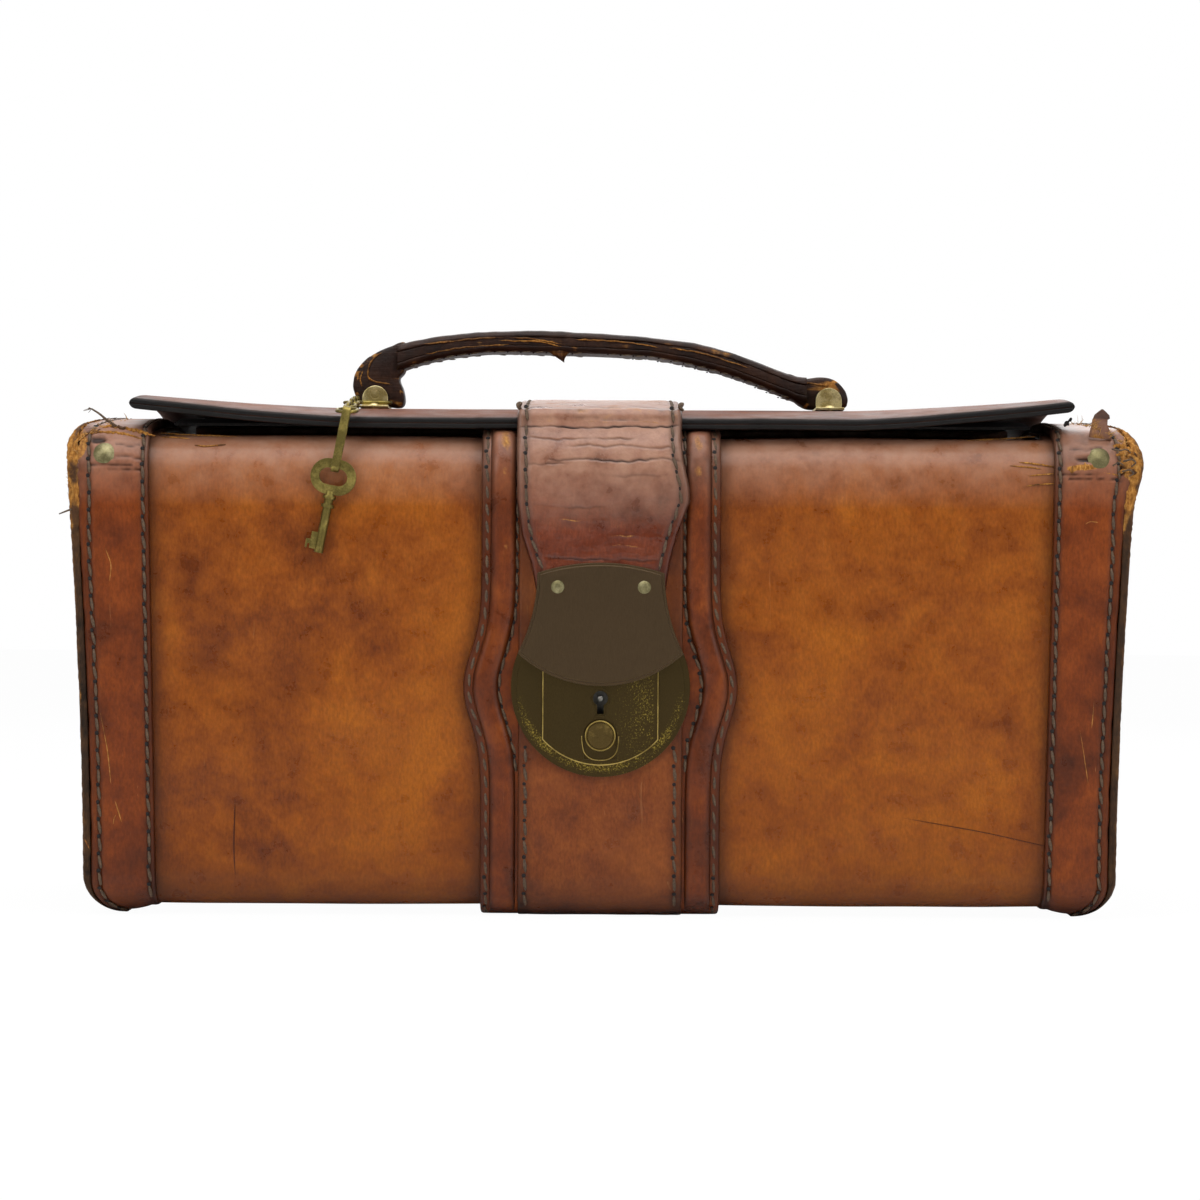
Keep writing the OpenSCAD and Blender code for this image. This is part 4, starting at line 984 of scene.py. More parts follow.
@dataclass
class Body:
    """Hide, bands, welts and raw end seams of the case.

    Attributes:
        palette: the materials.
        band_foot_in: x of the end bands' inner edge at the foot.
        band_lean: how far that edge leans outward at the top.
        centre_half: half the centre band's width.
        centre_swell: how far it swells at the lock.
        ground_half: half the width between the welts.
        ground_swell: how far that swells at the lock.
        swell_run: height over which the swelling dies away.
        lock_z: height of the lock's middle.
        strip_half: half the strip's width.
        strip_t: thickness of the strip.
        welt_t: height of the welts.
        outer_seam: distance of the outer stitches from the end bands' outer edge.
        inner_seam: distance of the inner stitches from their inner edge.
        centre_seam: distance of the centre band's stitches from its edges.
        strip_seam: distance of the strip's stitches from its edges.
    """

    palette: Palette
    band_foot_in: float = 142.0
    band_lean: float = 3.6
    centre_half: float = 38.4
    centre_swell: float = 5.6
    ground_half: float = 27.0
    ground_swell: float = 5.6
    swell_run: float = 15.4
    lock_z: float = LOCK_Z
    strip_half: float = 26.3
    strip_t: float = 1.5
    welt_t: float = 2.0
    outer_seam: float = 3.0
    inner_seam: float = 1.7
    centre_seam: float = 1.9
    strip_seam: float = 2.4
    # Two corners of the opening for the lock, which goes through hide, centre band and strip
    LOCK_OPENING = ((-14.3, -90.0, 50.7), (14.3, -50.0, 97.3))

    def band_in(self, z: np.ndarray) -> np.ndarray:
        """x of the end bands' inner edge at height z."""
        return self.band_foot_in + self.band_lean * np.clip(z, 0, None) / FORM.body_h

    def swelling(self, base: float, swell: float, y: np.ndarray, z: np.ndarray) -> np.ndarray:
        """Half the width of a band that swells round the lock, on the front only."""
        rise = swell * bell(z, self.lock_z, self.swell_run)
        return base + np.where(np.asarray(y) < 0, rise, 0.0)

    def hide_swell(self, x: np.ndarray, y: np.ndarray, z: np.ndarray) -> np.ndarray:
        """How far the hide stands proud of its true surface: soft dents, fuller between the bands."""
        full = np.sin(math.pi * np.clip((np.abs(x) - 39) / 103, 0, 1))
        return 0.3 * rough_noise(x / 34, y / 40, z / 30) + 0.35 * full

    def hide(self) -> None:
        """The hide wrapped round front, foot and back, and the crown beside the mouth."""
        s_mouth = PATH.crown_at(FORM.mouth_y)
        crown = np.linspace(-s_mouth, s_mouth, 25)[1:-1]
        wrapped = np.linspace(s_mouth, PATH.length - s_mouth, 300)
        s = np.concatenate([wrapped, crown + PATH.length])
        s_mod = np.mod(s, PATH.length)
        inner = np.linspace(-FORM.mouth_half, FORM.mouth_half, 101)
        outer = np.linspace(0, 1, 12)[1:]
        y0, z0 = PATH.at(s_mod, 0.0)
        edge = FORM.edge_x(z0, FORM.binding_w)
        side = FORM.mouth_half + (edge[:, None] - FORM.mouth_half) * outer[None, :]
        x = np.hstack([-side[:, ::-1], np.broadcast_to(inner, (len(s), len(inner))), side])
        o = self.hide_swell(x, y0[:, None], z0[:, None])
        out_y, out_z = PATH.outward(s_mod)
        points = np.stack([x, y0[:, None] + o * out_y[:, None], z0[:, None] + o * out_z[:, None]], axis=2)
        to_band = np.abs(self.band_in(z0)[:, None] - np.abs(x))
        to_centre = np.abs(np.abs(x) - self.swelling(self.centre_half, self.centre_swell, y0, z0)[:, None])
        near = np.exp(-to_band / 2.6) + np.exp(-to_centre / 2.6)
        foot = np.exp(-np.clip(z0 - 5, 0, None) / 9)[:, None]
        worn = 0.75 * near + 0.55 * foot
        first, columns = len(wrapped), x.shape[1]
        inside = [abs(x[0, j] + x[0, j + 1]) / 2 < FORM.mouth_half for j in range(columns - 1)]

        def keep(i: int, j: int) -> bool:
            """Leaves the mouth open."""
            return i < first - 1 or not inside[j]

        skin = Skin("hide_wrap")
        skin.grid(points, loop=True, keep=keep, worn=worn)
        piece = skin.build(self.palette["hide"], HIDE_WALL, MIDDLE)
        cut_box(piece, *self.LOCK_OPENING)
        place(piece, "case", "hide", "wrap_leather")

    def ends(self) -> None:
        """The two end leathers, slightly full."""
        inset = 0.25
        reach = FORM.half_d - 2
        for side, name in ((-1, "left"), (1, "right")):
            y = np.linspace(-reach, reach, 60)
            foot_y = FORM.half_d - FORM.foot_r
            out = np.clip(np.abs(y) - foot_y, 0, None)
            low = FORM.foot_z - np.sqrt(np.clip((FORM.foot_r - 2) ** 2 - out**2, 0, None))
            over = np.clip(np.abs(y) - FORM.shoulder_y, 0, None)
            high = np.where(over > 0.3,
                            FORM.shoulder_z + np.sqrt(np.clip((FORM.shoulder_r - 2) ** 2 - over**2, 0, None)),
                            FORM.crown_z(-2, y))
            v = np.linspace(0, 1, 70)
            z = low[:, None] + (high - low)[:, None] * v[None, :]
            full = (1 - (y / reach)[:, None] ** 4) * (1 - (2 * v[None, :] - 1) ** 4)
            x = FORM.edge_x(z, inset) - 0.6 + 0.9 * full
            points = np.stack([side * x, np.broadcast_to(y[:, None], z.shape), z], axis=2)
            skin = Skin(f"{name}_end_hide")
            skin.grid(points, worn=1.1 - 1.6 * full)
            place(skin.build(self.palette["band"], HIDE_WALL, MIDDLE), "case", "hide", f"{name}_end_leather")

    def bulge(self, side: int, z: np.ndarray | float) -> np.ndarray | float:
        """How far the torn right corner stands out sideways at height z."""
        return 2.2 * bell(np.asarray(z, float), 145.0, 8.5) if side > 0 else np.zeros_like(z, float)

    def outer_seam_at(self, z: np.ndarray | float) -> np.ndarray | float:
        """Distance of the outer stitches from the band's outer edge at height z."""
        return self.outer_seam + 1.7 * smooth_step(z, 108, 150)

    def corner_damage(self, side: int, x: np.ndarray, z: np.ndarray) -> tuple[np.ndarray, np.ndarray]:
        """How bare and how deeply broken the band is near the upper front corner.

        Args:
            side: -1 for the left band, 1 for the right.
            x: distances from the middle.
            z: heights.

        Returns:
            The bare and the broken share of each point, 0 to 1.
        """
        def spot(x0: float, z0: float, rx: float, rz: float) -> np.ndarray:
            """A ragged oval."""
            far = ((x - x0) / rx) ** 2 + ((z - z0) / rz) ** 2
            return np.clip(1.5 - far - 0.35 * rough_noise(x / 1.1, z / 1.1, 6.0), 0, 1)

        def line(z0: float, x_from: float, x_to: float, seed: float) -> np.ndarray:
            """A thin wavy line."""
            return bell(z, z0 + 0.8 * rough_noise(x / 4, seed), 0.28) * ((x > x_from) & (x < x_to))

        if side < 0:
            bare = 0.8 * spot(168.5, 150.5, 3.2, 4.5)
            broken = spot(161.8, 152.0, 2.6, 1.1)
            lines = ((150.3, 148.0, 156.0), (146.2, 147.5, 160.0), (144.0, 150.0, 164.0), (142.6, 147.0, 158.0))
        else:
            bare = spot(168.8, 146.6, 4.6, 5.6) + 0.8 * spot(153.6, 144.6, 5.0, 0.9)
            broken = spot(164.9, 144.0, 1.2, 1.6) + spot(154.6, 147.2, 3.2, 0.8)
            lines = ((142.4, 146.0, 158.0), (150.6, 150.0, 160.0), (141.0, 149.0, 166.0))
        for k, (z0, x_from, x_to) in enumerate(lines):
            broken = np.maximum(broken, 0.75 * line(z0, x_from, x_to, k * 3.7 + side))
        return np.clip(bare, 0, 1), np.clip(broken, 0, 1)

    def tear(self, s: np.ndarray) -> np.ndarray:
        """How far the band's outer edge is frayed away at distance s, most at the front shoulders."""
        _, z = PATH.at(s, 0.0)
        at_top = smooth_step(z, 126, 150)
        ragged = 0.5 + rough_noise(s / 2.1, 3.0) + 0.6 * rough_noise(s / 0.9, 9.0)
        small = np.clip(rough_noise(s / 7.0, 1.0), 0, None)
        return np.clip(1.9 * at_top * np.clip(ragged, 0, 1.2) + 0.8 * small, 0, None)

    def end_bands(self) -> None:
        """The bands round both ends, drawn down along their seams and frayed at the upper corners."""
        fine = np.linspace(PATH.front_at(156.5), PATH.front_at(134), 70)
        s = np.concatenate([np.linspace(0, fine[0] - 0.4, 60), fine,
                            np.linspace(fine[-1] + 0.6, PATH.length, 480)[:-1]])
        t = FORM.band_t
        _, z_top = PATH.at(s, t)
        x_out = FORM.edge_x(z_top, FORM.binding_w)
        width = x_out - self.band_in(z_top)
        torn = self.tear(s)
        edge = [(0.0, 0.02), (0.0, 1.2), (0.08, 2.1), (0.35, 2.7), (0.9, 3.0)]
        for side, name in ((-1, "left"), (1, "right")):
            rows, worn, raw, crack = [], [], [], []
            for k, sk in enumerate(s):
                w, height, y_here = width[k], z_top[k], PATH.at(sk, 0)[0]
                u, o = band_section(edge, w, t, 52)
                seam, inner = float(self.outer_seam_at(height)), w - self.inner_seam
                dip = 0.55 * (bell(u, seam, 0.8) + bell(u, inner, 0.7))
                swell = 0.35 * np.sin(np.pi * np.clip((u - 3.5) / max(w - 5.5, 1), 0, 1))
                o = np.where(o > 2.9, o + swell - dip, o)
                if abs(y_here) < FORM.mouth_y + 6 and height > 140:
                    o = np.minimum(o, t)
                o = o * (1 - 0.75 * float(smooth_step(9 - height, 0, 8)) * np.clip(u / w, 0, 1))
                shift = torn[k] * np.exp(-u / 1.4) if w > 14 else 0.0
                bare = broken = np.zeros_like(u)
                if y_here < 0 and height > 134:
                    bare, broken = self.corner_damage(side, x_out[k] - u, np.full_like(u, height))
                    rough = rough_noise(u / 0.9, sk / 0.9, side * 4.0)
                    o = np.where(o > 2.5, o + 0.5 * bare * rough - 0.8 * broken, o)
                y, z = PATH.at(np.full_like(u, sk), o)
                limit = FORM.edge_x(z, FORM.binding_w) + self.bulge(side, height)
                rows.append(np.column_stack([side * (limit - u * (w + limit - x_out[k]) / w - shift), y, z]))
                crack.append(broken)
                worn.append(0.9 * np.exp(-u / 1.6) + 0.8 * np.exp(-(w - u) / 1.1) + 0.5 * bell(u, seam, 1.1)
                            + 0.5 * bell(u, inner, 1.1) + 0.5 * math.exp(-max(height - 2, 0) / 7))
                raw.append(0.6 * np.exp(-u / 1.5) * float(smooth_step(height, 122, 150))
                           + 0.35 * min(torn[k], 1.4) * np.exp(-u / 2.4) + bare)
            piece = sweep(f"{name}_end_band", rows, self.palette["band"], loop=True, worn=worn, raw=raw, crack=crack)
            place(piece, "case", "band_leather", f"{name}_edge_band")

    def bindings(self) -> None:
        """The raw seams round both ends: cut edges of several layers with grooves between them."""
        s = np.linspace(0, PATH.length, 760, endpoint=False)
        u0, o0 = np.array([
            (2.55, 2.6), (2.3, 3.0), (1.7, 3.15), (0.9, 3.0), (0.35, 2.6), (0.1, 2.1), (0.55, 1.7), (0.05, 1.3),
            (0.0, 0.6), (0.5, 0.2), (0.02, -0.2), (0.0, -0.8), (0.45, -1.15), (0.1, -1.5), (0.4, -2.0), (2.4, -2.0)]).T
        _, z0 = PATH.at(s, 1.0)
        corner = np.arange(len(u0))
        for side, name in ((-1, "left"), (1, "right")):
            rows, raw, worn = [], [], []
            for sk, ragged in zip(s, smooth_step(z0, 110, 142)):
                rag = rough_noise(sk / 1.7, corner * 1.3, side * 5.0)
                slow = rough_noise(sk / 9.0, corner * 0.4, side * 2.0)
                amount = 0.16 + 0.65 * ragged
                u = np.clip(u0 + amount * rag + 0.2 * slow, 0.0, 2.6)
                o = np.clip(o0 + 0.8 * amount * np.roll(rag, 3), -2.2, 3.3 + 0.3 * ragged)
                y, z = PATH.at(np.full_like(u, sk), o)
                u = u * (1 + 0.55 * ragged * (o > 2.0))
                front = self.bulge(side, z) * (y < 0)
                rows.append(np.column_stack([side * (FORM.edge_x(z, u) + front), y, z]))
                raw.append(0.14 + 0.5 * ragged + 0.35 * slow)
                worn.append(0.55 - 0.5 * ragged + 0.4 * (u0 > 0.4) - 0.2 * rag)
            piece = sweep(f"{name}_end_seam", rows, self.palette["raw"], loop=True, raw=raw, worn=worn)
            place(piece, "case", "raw_edge", f"{name}_edge_binding")

    def centre_band(self) -> None:
        """The centre band from the mouth down the front, under the foot and up the back."""
        t = FORM.band_t
        s = np.linspace(PATH.crown_at(FORM.mouth_y), PATH.back_at(BACK_SEAM_Z), 330)
        edge = [(0.0, 0.02), (0.0, 1.1), (0.08, 2.0), (0.35, 2.65), (0.9, 3.0)]
        rows, worn = [], []
        for sk, half in zip(s, self.swelling(self.centre_half, self.centre_swell, *PATH.at(s, t))):
            w = 2 * half
            u, o = band_section(edge, w, t, 30)
            near = np.minimum(u, w - u)
            o = np.where(o > 2.9, o - 0.5 * bell(near, self.centre_seam, 0.7), o)
            rows.append(PATH.row(u - half, sk, o))
            worn.append(0.9 * np.exp(-near / 1.2) + 0.5 * bell(near, self.centre_seam, 1.2))
        piece = sweep("centre_band_leather", rows, self.palette["band"], worn=worn)
        cut_box(piece, *self.LOCK_OPENING)
        place(piece, "case", "band_leather", "centre_band")

    def welts(self) -> None:
        """The padded welts beside the strip, swelling round the lock and dying away under the foot."""
        s = np.linspace(PATH.front_at(155.6) + 0.4, PATH.front_at(FORM.band_t + 0.4), 300)
        t = FORM.band_t
        y, z = PATH.at(s, t)
        out = self.swelling(self.centre_half, self.centre_swell, y, z) - 2.9
        ground = self.swelling(self.ground_half, self.ground_swell, y, z)
        v = np.linspace(0, 1, 19)
        dome = (1 - np.abs(2 * v - 1) ** 2.6) ** 0.62
        skin = Skin("centre_welts")
        for side in (-1, 1):
            rows, worn, raw = [], [], []
            for k, sk in enumerate(s):
                height = self.welt_t * float(smooth_step(z[k], 0.5, 9)) * float(smooth_step(157.5 - z[k], 0, 4))
                o = t - 0.1 + (height + 0.1) * dome
                u = ground[k] + (out[k] - ground[k]) * v
                lump = 0.12 * rough_noise(sk / 8, side * 3.0)
                low = PATH.row(side * np.array([out[k], ground[k]]), sk, t - 0.12)
                rows.append(np.vstack([PATH.row(side * u, sk, o + lump * dome), low]))
                # Painted shade: darker down both sides of each welt, and fully dark on the two rows at its base, where
                # it meets the ground
                worn.append(np.concatenate([1.0 - 2.2 * np.minimum(v, 1 - v) * 2, [1, 1]]))
                rub = 0.5 * float(smooth_step(z[k], 136, 150)) * (0.7 + rough_noise(sk / 3, side * 7.0))
                for z_rub, strong in ((142.5, 0.5), (118.0, 0.42), (64.0, 0.3)):
                    rub = max(rub, strong * bell(z[k], z_rub, 3.2))
                raw.append(np.concatenate([rub * bell(v, 0.45, 0.3), [0, 0]]))
            skin.grid(np.array(rows), wrap=True, caps=True, worn=worn, raw=raw)
        place(skin.build(self.palette["welt"]), "case", "welt_leather", "centre_welt")

    def strip(self) -> None:
        """The strip between the welts, sewn down below the lock."""
        t = FORM.band_t
        s = np.linspace(PATH.front_at(138.8), PATH.front_at(FORM.band_t + 0.2), 220)
        _, z = PATH.at(s, t)
        w = 2 * self.strip_half
        edge = [(0.0, -0.05), (0.02, 0.6), (0.15, 1.05), (0.5, 1.35), (1.1, 1.5)]
        u, height = band_section(edge, w, self.strip_t, 24)
        near, on_top = np.minimum(u, w - u), height > 1.4
        rows, worn = [], []
        for sk, zk in zip(s, z):
            thin = 0.25 + 0.75 * float(smooth_step(zk, 0.5, 8))
            o = t + (height - 0.35 * bell(near, self.strip_seam, 0.8) * on_top) * thin
            o += 0.10 * on_top * rough_noise(u / 9, sk / 9)
            rows.append(PATH.row(u - self.strip_half, sk, o))
            low = 0.6 * math.exp(-max(zk - 3, 0) / 7)
            worn.append(0.9 * np.exp(-near / 1.3) + 0.4 * bell(near, self.strip_seam, 1.1) + low)
        piece = sweep("centre_strip_leather", rows, self.palette["strip"], worn=worn)
        cut_box(piece, *self.LOCK_OPENING)
        place(piece, "case", "band_leather", "centre_strip")

    def sewing(self) -> None:
        """All stitches on the case."""
        t = FORM.band_t
        crown_to_foot = np.linspace(0, PATH.front_at(8.5), 330)
        foot_to_crown = np.linspace(PATH.back_at(8.5), PATH.length, 330)

        def band_out(_: np.ndarray, z: np.ndarray, side: int) -> np.ndarray:
            """The end bands' outer stitches."""
            return FORM.edge_x(z, FORM.binding_w) - self.outer_seam_at(z) + 0.7 * self.bulge(side, z)

        def band_in(_: np.ndarray, z: np.ndarray, side: int) -> np.ndarray:
            """The end bands' inner stitches."""
            return self.band_in(z) + self.inner_seam

        def centre(y: np.ndarray, z: np.ndarray, side: int) -> np.ndarray:
            """The centre band's stitches."""
            return self.swelling(self.centre_half, self.centre_swell, y, z) - self.centre_seam

        def ground(y: np.ndarray, z: np.ndarray, side: int) -> np.ndarray:
            """The stitches inside the welts."""
            return self.swelling(self.ground_half, self.ground_swell, y, z) - 0.2

        def strip(_: np.ndarray, z: np.ndarray, side: int) -> np.ndarray:
            """The strip's stitches."""
            return np.full_like(z, self.strip_half - self.strip_seam)

        seams = (
            (band_out, np.linspace(0, PATH.length, 700), t - 0.25),
            (band_in, crown_to_foot, t - 0.2),
            (band_in, foot_to_crown, t - 0.2),
            (centre, np.linspace(PATH.front_at(155.8), PATH.back_at(105.0), 400), t - 0.2),
            (ground, np.linspace(PATH.front_at(155.0), PATH.front_at(self.lock_z - 25), 220), t + 0.1),
            (strip, np.linspace(PATH.front_at(self.lock_z - 22), PATH.front_at(7.5), 120), t + self.strip_t - 0.15),
        )
        rows = [seam_on_case(half_at, side, s, o) for side in (-1, 1) for half_at, s, o in seams]
        place(Stitching().sew("case_stitches", rows, self.palette), "case", "linen")

    def build(self) -> None:
        """Makes all of the body's leather."""
        self.hide()
        self.ends()
        self.end_bands()
        self.bindings()
        self.centre_band()
        self.welts()
        self.strip()
        self.sewing()


# Lid, hinge leather and strap


@dataclass
class Lid:
    """The stiff flap with its curled ends, and the leather that hinges it.

    Attributes:
        palette: the materials.
        half_w: half the lid's width.
        under: distance of its underside from the hide.
        thick: its thickness.
        front: distance of its front edge from the middle.
        back: distance of its back edge from the middle.
        curl: rise of the curled ends.
        curl_from: distance from the middle where the curl begins.
    """

    palette: Palette
    half_w: float = 152.0
    under: float = 3.3
    thick: float = 3.5
    front: float = 65.0
    back: float = 58.0
    curl: float = 6.1
    curl_from: float = 82.0

    def rise(self, x: float, y: np.ndarray) -> np.ndarray:
        """How far the curl lifts the lid at a place."""
        out = max(0.0, abs(x) - self.curl_from) / (self.half_w - self.curl_from)
        return self.curl * out**1.3 * (self.back - y) / (self.back + self.front)

    def flap(self) -> None:
        """The flap: tan on top, blacked on its cut edges, with a pale line between its two layers that is a painted
        highlight.
        """
        nib = 2.1
        tip = nib * np.array([0.0, 0.04, 0.12, 0.26, 0.45, 0.7])
        xs = np.concatenate([tip - self.half_w, np.linspace(nib - self.half_w, self.half_w - nib, 170),
                             (self.half_w - tip)[::-1]])
        squeeze = np.sqrt(np.clip(1 - (1 - np.clip((self.half_w - np.abs(xs)) / nib, 0.01, 1)) ** 2, 0, 1))
        flat = np.linspace(self.back - 0.8, -self.front + 0.9, 34)
        nose = [(0.7, 0.49), (0.25, 0.42), (0.05, 0.3), (0.0, 0.14), (0.1, 0.06), (0.45, 0.02), (0.45, -0.03),
                (0.1, -0.07), (0.0, -0.14), (0.04, -0.3), (0.25, -0.43), (0.7, -0.49)]
        rows, edge, worn, raw = [], [], [], []
        for x, q in zip(xs, squeeze):
            wave = 0.35 * rough_noise(x / 26, 2.0)
            rough = 0.12 * rough_noise(x / 1.4, 6.0)
            top = [(y, 0.5) for y in flat] + [(-self.front + d + rough, h) for d, h in nose]
            low = [(y, -0.5) for y in flat[::-1]] + [(self.back, -0.2), (self.back, 0.2)]
            y, h = np.array(top + low).T * [[1.0], [q]]
            z = FORM.crown_z(self.under + self.thick * (0.5 + h), y) + self.rise(x, y) + np.where(
                y < 0, wave * np.clip(-y / self.front, 0, 1) * (abs(x) > 40), 0)
            rows.append(np.column_stack([np.full_like(y, x), y, z]))
            near_front = np.exp(-np.clip(y + self.front, 0, None) / 0.9)
            near_side = math.exp(-(self.half_w - abs(x)) / 1.2)
            # The pale line between the two layers is a painted highlight: fibre colour laid on the black front edge
            between = bell(h / q, -0.005, 0.05) * near_front
            edge.append(1.3 * np.maximum(near_front, near_side) - 0.5 * between)
            raw.append(between * (0.5 + 0.4 * rough_noise(x / 5, 1.0)))
            worn.append(0.25 + np.where(h < 0, 0.35, 0.0) + 0.5 * np.exp(-(y + self.front) / 9))
        piece = sweep("lid_flap", rows, self.palette["lid"], edge=edge, worn=worn, raw=raw)
        place(piece, "lid", "lid_leather", "lid_leather")

    def hinge(self) -> None:
        """The hinge leather from the back panel over the shoulder to the lid, sampled more finely at its fold, and its
        stitches.
        """
        half_x = 140.0
        fold = math.radians(45)
        s_seam = PATH.back_at(BACK_SEAM_Z)
        s_fold = PATH.length - PATH.front_at(FORM.shoulder_z + FORM.shoulder_r * math.sin(fold))
        s_end = PATH.length - PATH.crown_at(24)
        s = np.concatenate([np.linspace(s_seam, s_fold - 6, 40), np.linspace(s_fold - 5.5, s_fold + 5.5, 24),
                            np.linspace(s_fold + 6, s_end, 20)])
        xs = np.linspace(-half_x, half_x, 90)
        t = FORM.band_t
        rows, worn = [], []
        for sk in s:
            lift = 0.2 * float(smooth_step(sk, s_fold - 3, s_fold + 3))
            top = np.full_like(xs, t + lift - 0.35 * bell(sk, s_seam + 3, 1.0))
            top[[0, -1]] -= 0.8
            rows.append(np.vstack([PATH.row(xs, sk, top), PATH.row(xs, sk, lift + 0.02)[::-1]]))
            shade = (np.exp(-(half_x - np.abs(xs)) / 2) + 0.7 * math.exp(-(sk - s_seam) / 3)
                     + 0.6 * bell(sk, s_fold, 5))
            worn.append(np.concatenate([shade, shade]))
        piece = sweep("hinge_leather", rows, self.palette["band"], worn=worn)
        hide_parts("hinge_leather_lower", "hinge_leather_upper")
        y_a, z_a = PATH.at(s_fold - 5, t)
        y_b, z_b = PATH.at(s_fold + 5, t)
        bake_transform(piece)
        log.info("%s: %d faces from case to lid", piece.name, len(piece.data.polygons))
        across = np.linspace(-half_x + 4, half_x - 4, 200)
        rows = []
        for sk in (s_seam + 3, s_seam + 7.5):
            out = np.tile([0.0, *PATH.outward(sk)], (len(across), 1))
            rows.append(np.hstack([PATH.row(across, sk, t - 0.1), out]))
        place(Stitching(seed=8).sew("hinge_stitches", rows, self.palette), "case", "linen")

    def build(self) -> None:
        """Makes the flap and its hinge."""
        self.flap()
        self.hinge()


